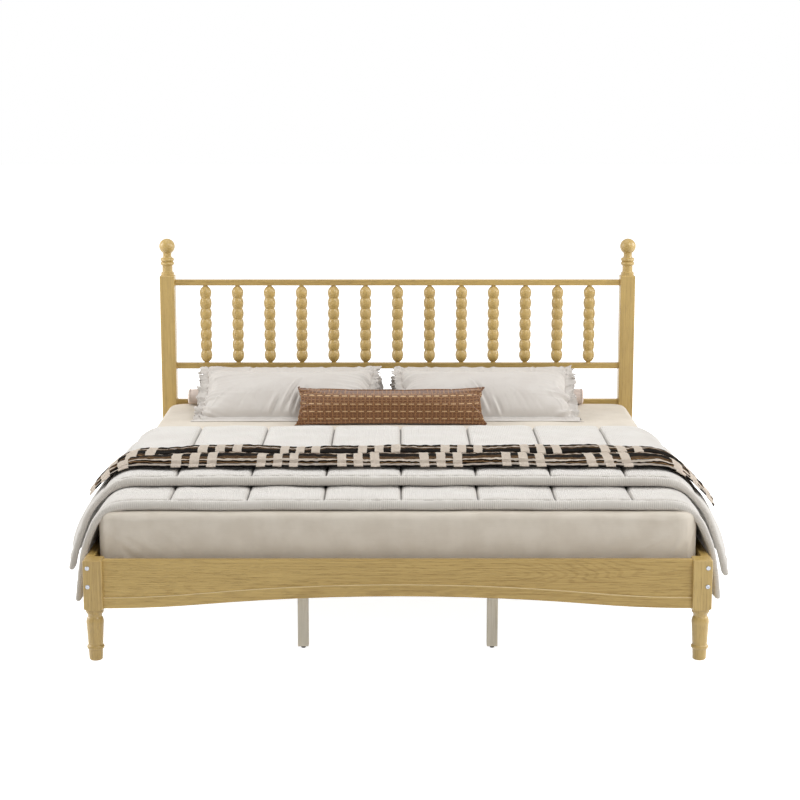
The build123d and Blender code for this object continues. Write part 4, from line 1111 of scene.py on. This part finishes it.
def stuffed_case(stands_for, case, material):
    """A stuffed case that leans back at a slope, blown up and fitted to its outline and depth."""
    low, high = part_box(stands_for)
    slope, flange = math.radians(case.slope), case.flange
    cos, sin = math.cos(slope), math.sin(slope)
    reach = case.depth / 2 + flange
    centre = ((low[0] + high[0]) / 2, low[1] + 0.001 + reach * cos, low[2] + 0.002 + reach * sin)
    size = (high[0] - low[0] - 2 * flange, case.depth)
    whole = (size[0] + 2 * flange, size[1] + 2 * flange)
    steps = [max(8, round(side / case.cell)) + 1 for side in whole]
    flat_x, flat_s = np.meshgrid(*[np.linspace(-side / 2, side / 2, n) for side, n in zip(whole, steps)])
    inner = (np.abs(flat_x) <= size[0] / 2 + case.cell / 4) & (np.abs(flat_s) <= size[1] / 2 + case.cell / 4)
    over, under = blow_up(flat_x, flat_s, inner, case.pressure, case.loose)
    for axis, flat in enumerate((flat_x, flat_s)):
        reach = np.abs(over[..., axis]).max()
        for sheet in (over, under):
            sheet[..., axis] = flat + case.draw[axis] * (sheet[..., axis] * whole[axis] / 2 / reach - flat)
    for sheet in (over, under):
        above = case.crown / max(over[..., 2].max(), 1e-4)
        below = case.sag / max(-under[..., 2].min(), 1e-4)
        tall = np.where(sheet[..., 2] > 0, above, below)
        sheet[..., 2] *= np.where(inner, tall, np.minimum(tall, 1.0))
    flat_x, flat_s, over, under = [
        finer(finer(grid).swapaxes(0, 1)).swapaxes(0, 1) for grid in (flat_x, flat_s, over, under)
    ]
    from_foot = flat_s + size[1] / 2
    if flange > 0.01:
        to_top = 0.004 + 0.52 * np.maximum(size[1] / 2 - flat_s, 0)
        over[..., 2] = over[..., 2] / (1 + np.maximum(over[..., 2] / to_top, 0) ** 6) ** (1 / 6)
        between_ends = smooth_step(size[0] / 2 - np.abs(flat_x), 0, 0.05)
        over[..., 1] -= 0.013 * np.exp(-(((from_foot - 0.03) / 0.024) ** 2)) * between_ends
    gather_ends(over, under, flat_x, flat_s, size, flange, case.gathers, round(1000 * abs(centre[0])))
    filled = smooth_step(over[..., 2] - under[..., 2], 0.004, 0.03)
    for start, finish, depth, width in case.creases:
        over[..., 2] += crease(over[..., 0], over[..., 1], start, finish, depth, width) * filled
    half_cloth, clearance, flange_lift = 0.0016, 0.0008, 0.0024
    over[..., 2] += half_cloth
    under[..., 2] -= half_cloth

    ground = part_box("fitted_sheet")[1][2] + clearance
    past = np.maximum(-from_foot, 0)
    falling = np.exp(-past / 0.004) * (past > 0) + (past <= 0)
    droop = np.where(past > 0, 0, 0.8 * flange * sin * (1 - smooth_step(from_foot, 0, 0.07)))
    layers = []
    for sheet, above in ((over, flange_lift), (under, 0.0)):
        x, s, normal = sheet[..., 0], sheet[..., 1], sheet[..., 2]
        height = centre[2] + s * sin + normal * cos - droop
        height = ground + (height - ground) * falling + above * (1 - falling)
        y = centre[1] + s * cos - normal * sin
        layers.append(np.stack([centre[0] + x, y, np.maximum(height, ground)], 2))
    cloth = np.stack([flat_x, layers[0][..., 2] - centre[2] if case.level_rows else flat_s], 2)
    piece = add_layers(f"{stands_for}_case", *layers, cloth, material)
    padded_piece(piece, stands_for)


# Creases that fan up from a front pillow's lower seam: both ends, as shares of half its width and depth
PILLOW_CREASES = (
    ((-0.06, -0.95), (0.18, -0.05)),
    ((0.04, -0.97), (0.14, -0.5)),
    ((-0.18, -0.95), (-0.10, -0.65)),
    ((0.13, -0.9), (0.24, -0.4)),
)


class BED_OT_pillows(bpy.types.Operator):
    """Two flat pillows against the bolster and two full ones on them, with gathered ends"""

    bl_idname = "bed.pillows"
    bl_label = "Pillows"

    def execute(self, context):
        linen = context.scene.bed_linen
        colors = (linen.pillow, linen.pillow_shade)
        cotton = cloth_material("pillow cotton", *colors, threads=700, depth=0.0003, sheen=0.2, kind="cloth")
        for side, mirror, loose in (("left", -1, 0.045), ("right", 1, 0.055)):
            low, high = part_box(f"front_pillow_{side}")
            flange, depth = 0.04, 0.345
            half = (-mirror * (high[0] - low[0] - 2 * flange) / 2, depth / 2)
            creases = [
                (*[(x * half[0], s * half[1]) for x, s in ends], 0.008, 0.008) for ends in PILLOW_CREASES
            ]
            front = Case(22, depth, flange, 0.08924, 0.036, (0.4, 0.12), 0.0055, loose, creases=creases)
            back = Case(27.5, 0.192, 0.03, 0.01164, 0.0342, (0.6, 0.2), 0.007, loose)
            stuffed_case(f"front_pillow_{side}", front, cotton)
            stuffed_case(f"back_pillow_{side}", back, cotton)
        return {"FINISHED"}


# Creases at the lumbar cushion's ends: place along as a share of half its width, place up in metres,
# for both ends, then depth and width
LUMBAR_CREASES = (
    ((-0.97, -0.045), (-0.78, -0.03), 0.006, 0.007),
    ((-0.95, 0.03), (-0.86, -0.005), 0.004, 0.006),
    ((0.97, -0.05), (0.84, -0.02), 0.006, 0.007),
    ((0.95, 0.04), (0.88, 0.005), 0.004, 0.006),
)


class BED_OT_lumbar(bpy.types.Operator):
    """Long stitched cushion that leans on the front pillows"""

    bl_idname = "bed.lumbar"
    bl_label = "Lumbar Cushion"

    def execute(self, context):
        cloth = stitched_material("stitched cotton", context.scene.bed_lumbar)
        low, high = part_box("lumbar_cushion")
        half = (high[0] - low[0]) / 2
        creases = [
            ((start[0] * half, start[1]), (finish[0] * half, finish[1]), depth, width)
            for start, finish, depth, width in LUMBAR_CREASES
        ]
        cushion = Case(
            slope=43,
            depth=0.19,
            flange=0.003,
            crown=0.049,
            sag=0.04,
            draw=(1.5, 0.3),
            gathers=0.0016,
            loose=0.015,
            cell=0.006,
            pressure=7.0,
            creases=creases,
            level_rows=True,
        )
        stuffed_case("lumbar_cushion", cushion, cloth)
        return {"FINISHED"}


class BED_OT_bolster(bpy.types.Operator):
    """Round bolster with a piped seam at each end"""

    bl_idname = "bed.bolster"
    bl_label = "Bolster"

    def execute(self, context):
        linen = context.scene.bed_linen
        low, high = np.array(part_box("bolster"))
        centre, half = (low + high) / 2, (high[0] - low[0]) / 2
        piping = 0.0025
        radius = (high[2] - low[2]) / 2 - piping
        seam = half - 0.009
        outline = [(0.0, half), (radius * 0.5, half - 0.001), (radius * 0.85, half - 0.003)]
        outline += [(radius * 0.98, seam + 0.003)]
        for turn in np.linspace(0.3, math.pi - 0.3, 7):
            outline.append((radius + piping * 0.8 * math.sin(turn), seam + piping * math.cos(turn)))
        outline += [(radius * 0.99, seam - 0.006)]
        outline += [(radius, place) for place in np.arange(seam - 0.012, 0, -0.008)]
        outline += [(r, -place) for r, place in reversed(outline)]
        angles = np.linspace(0, 2 * math.pi, 96, endpoint=False)[None]
        radii, places = np.array(outline).T[..., None]
        radii = np.maximum(radii, 0.0008)
        soft = 0.0012 * ripples(places, angles * radius, 0.11, 71)
        gathers = 0.0007 * np.sin(angles * 17) * np.exp(-np.abs(seam - np.abs(places)) / 0.02)
        sag = 0.002 * np.maximum(-np.sin(angles), 0) ** 4
        r = radii + (soft + gathers - sag) * smooth_step(radii, radius * 0.8, radius)
        x = centre[0] + places + 0 * r
        points = np.stack([x, centre[1] + r * np.cos(angles), centre[2] + r * np.sin(angles)], 2)
        cloth = np.stack([places + 0 * r, angles * radius + 0 * r], 2)
        colors = (linen.bolster, linen.bolster_shade)
        cover = cloth_material("bolster cover", *colors, threads=480, depth=0.0005, sheen=0.2)
        piece = add_rings("bolster_roll", points, cover, cloth)
        padded_piece(piece, "bolster")
        return {"FINISHED"}


def seen_directly(tree):
    """1 for rays of the camera, of mirrors and of glass, and 0 for all others, as a field."""
    rays = node(tree, "ShaderNodeLightPath")
    seen = Field(tree, rays.outputs["Is Camera Ray"])
    for kind in ("Glossy", "Transmission"):
        seen = seen.math("MAXIMUM", Field(tree, rays.outputs[f"Is {kind} Ray"]))
    return seen


class BED_OT_stage(bpy.types.Operator):
    """Camera, lamps, floor and background"""

    bl_idname = "bed.stage"
    bl_label = "Stage"

    def execute(self, context):
        stage = context.scene.bed_stage
        camera = bpy.data.cameras.new("camera")
        camera.lens, camera.sensor_width = stage.lens, 36
        camera_object = bpy.data.objects.new("camera", camera)
        camera_object.location = stage.camera_place
        camera_object.rotation_euler = (math.pi / 2 - stage.camera_down, 0, -stage.camera_turn)
        context.scene.collection.objects.link(camera_object)
        context.scene.camera = camera_object
        for name, place, size, power in (
            ("key", (3.2, -4.4, 5.4), 2.4, stage.key_power),
            ("top", (-0.6, 0.6, 6.0), 3.5, stage.top_power),
            ("left side", (-5.0, 0.3, 2.6), 2.5, stage.left_power),
            ("right side", (5.0, 0.3, 2.6), 2.5, stage.right_power),
        ):
            self.lamp(name, place, size, power)
        self.background(context, stage)
        self.add_floor(stage)
        context.scene.view_settings.view_transform = "Standard"
        return {"FINISHED"}

    def lamp(self, name, place, size, power):
        """A square area lamp that points at the middle of the bed."""
        data = bpy.data.lights.new(name, "AREA")
        data.size, data.energy = size, power
        made = bpy.data.objects.new(name, data)
        made.location = place
        bed_middle = Vector((0, 0, 0.45))
        aim = bed_middle - Vector(place)
        made.rotation_euler = aim.to_track_quat("-Z", "Y").to_euler()
        bpy.context.scene.collection.objects.link(made)

    def background(self, context, stage):
        """Even light from all round that the camera and glossy surfaces see as white."""
        world = bpy.data.worlds.new("studio")
        world.use_nodes = True
        tree = world.node_tree
        tree.nodes.clear()
        strength = seen_directly(tree) * (1 - stage.ambient) + stage.ambient
        light = node(tree, "ShaderNodeBackground", {"Color": (1, 1, 1, 1), "Strength": strength})
        output = tree.nodes.new("ShaderNodeOutputWorld")
        tree.links.new(light.outputs[0], output.inputs[0])
        context.scene.world = world

    def add_floor(self, stage):
        """A wide pale floor that shows as white except for the object's shadow."""
        reach = 30
        corners = [(-reach, -reach, 0), (reach, -reach, 0), (reach, reach, 0), (-reach, reach, 0)]
        material, shader = new_material("floor", Base_Color=(*stage.floor, 1), Roughness=0.9)
        tree = material.node_tree
        place = coordinates(material)
        distance = place.through("ShaderNodeVectorMath", {0: place}, "Value", operation="LENGTH")
        glow_strength = seen_directly(tree) * distance.ramp(1.5, 5.0, 0.9, 1.0)
        glow = node(tree, "ShaderNodeEmission", {"Color": (1, 1, 1, 1), "Strength": glow_strength})
        both = tree.nodes.new("ShaderNodeAddShader")
        for number, part in enumerate((shader, glow)):
            tree.links.new(part.outputs[0], both.inputs[number])
        output = next(made for made in tree.nodes if made.type == "OUTPUT_MATERIAL")
        tree.links.new(both.outputs[0], output.inputs["Surface"])
        add_piece("floor", corners, [(0, 1, 2, 3)], material)


OPERATORS = (
    BED_OT_wood,
    BED_OT_hardware,
    BED_OT_mattress,
    BED_OT_comforter,
    BED_OT_throw,
    BED_OT_pillows,
    BED_OT_lumbar,
    BED_OT_bolster,
    BED_OT_stage,
)


class BED_PT_panel(bpy.types.Panel):
    """Lists the operators in the order they run"""

    bl_label = "Platform Bed"
    bl_idname = "BED_PT_panel"
    bl_space_type = "VIEW_3D"
    bl_region_type = "UI"
    bl_category = "Bed"

    def draw(self, context):
        for operator in OPERATORS:
            self.layout.operator(operator.bl_idname)


def register():
    """Registers every class and hangs the settings on the scene."""
    for settings in SETTINGS.values():
        bpy.utils.register_class(settings)
    for name, settings in SETTINGS.items():
        setattr(bpy.types.Scene, name, bpy.props.PointerProperty(type=settings))
    for operator in OPERATORS:
        bpy.utils.register_class(operator)
    bpy.utils.register_class(BED_PT_panel)


def unregister():
    """Takes back what register did."""
    bpy.utils.unregister_class(BED_PT_panel)
    for operator in reversed(OPERATORS):
        bpy.utils.unregister_class(operator)
    for name in SETTINGS:
        delattr(bpy.types.Scene, name)
    for settings in reversed(SETTINGS.values()):
        bpy.utils.unregister_class(settings)


def main():
    """Builds everything in order."""
    register()
    wood_grain_group()
    weave_group()
    bpy.ops.bed.wood()
    bpy.ops.bed.hardware()
    bpy.ops.bed.mattress()
    bpy.ops.bed.comforter()
    bpy.ops.bed.throw()
    bpy.ops.bed.pillows()
    bpy.ops.bed.lumbar()
    bpy.ops.bed.bolster()
    bpy.ops.bed.stage()


if __name__ == "__main__":
    main()
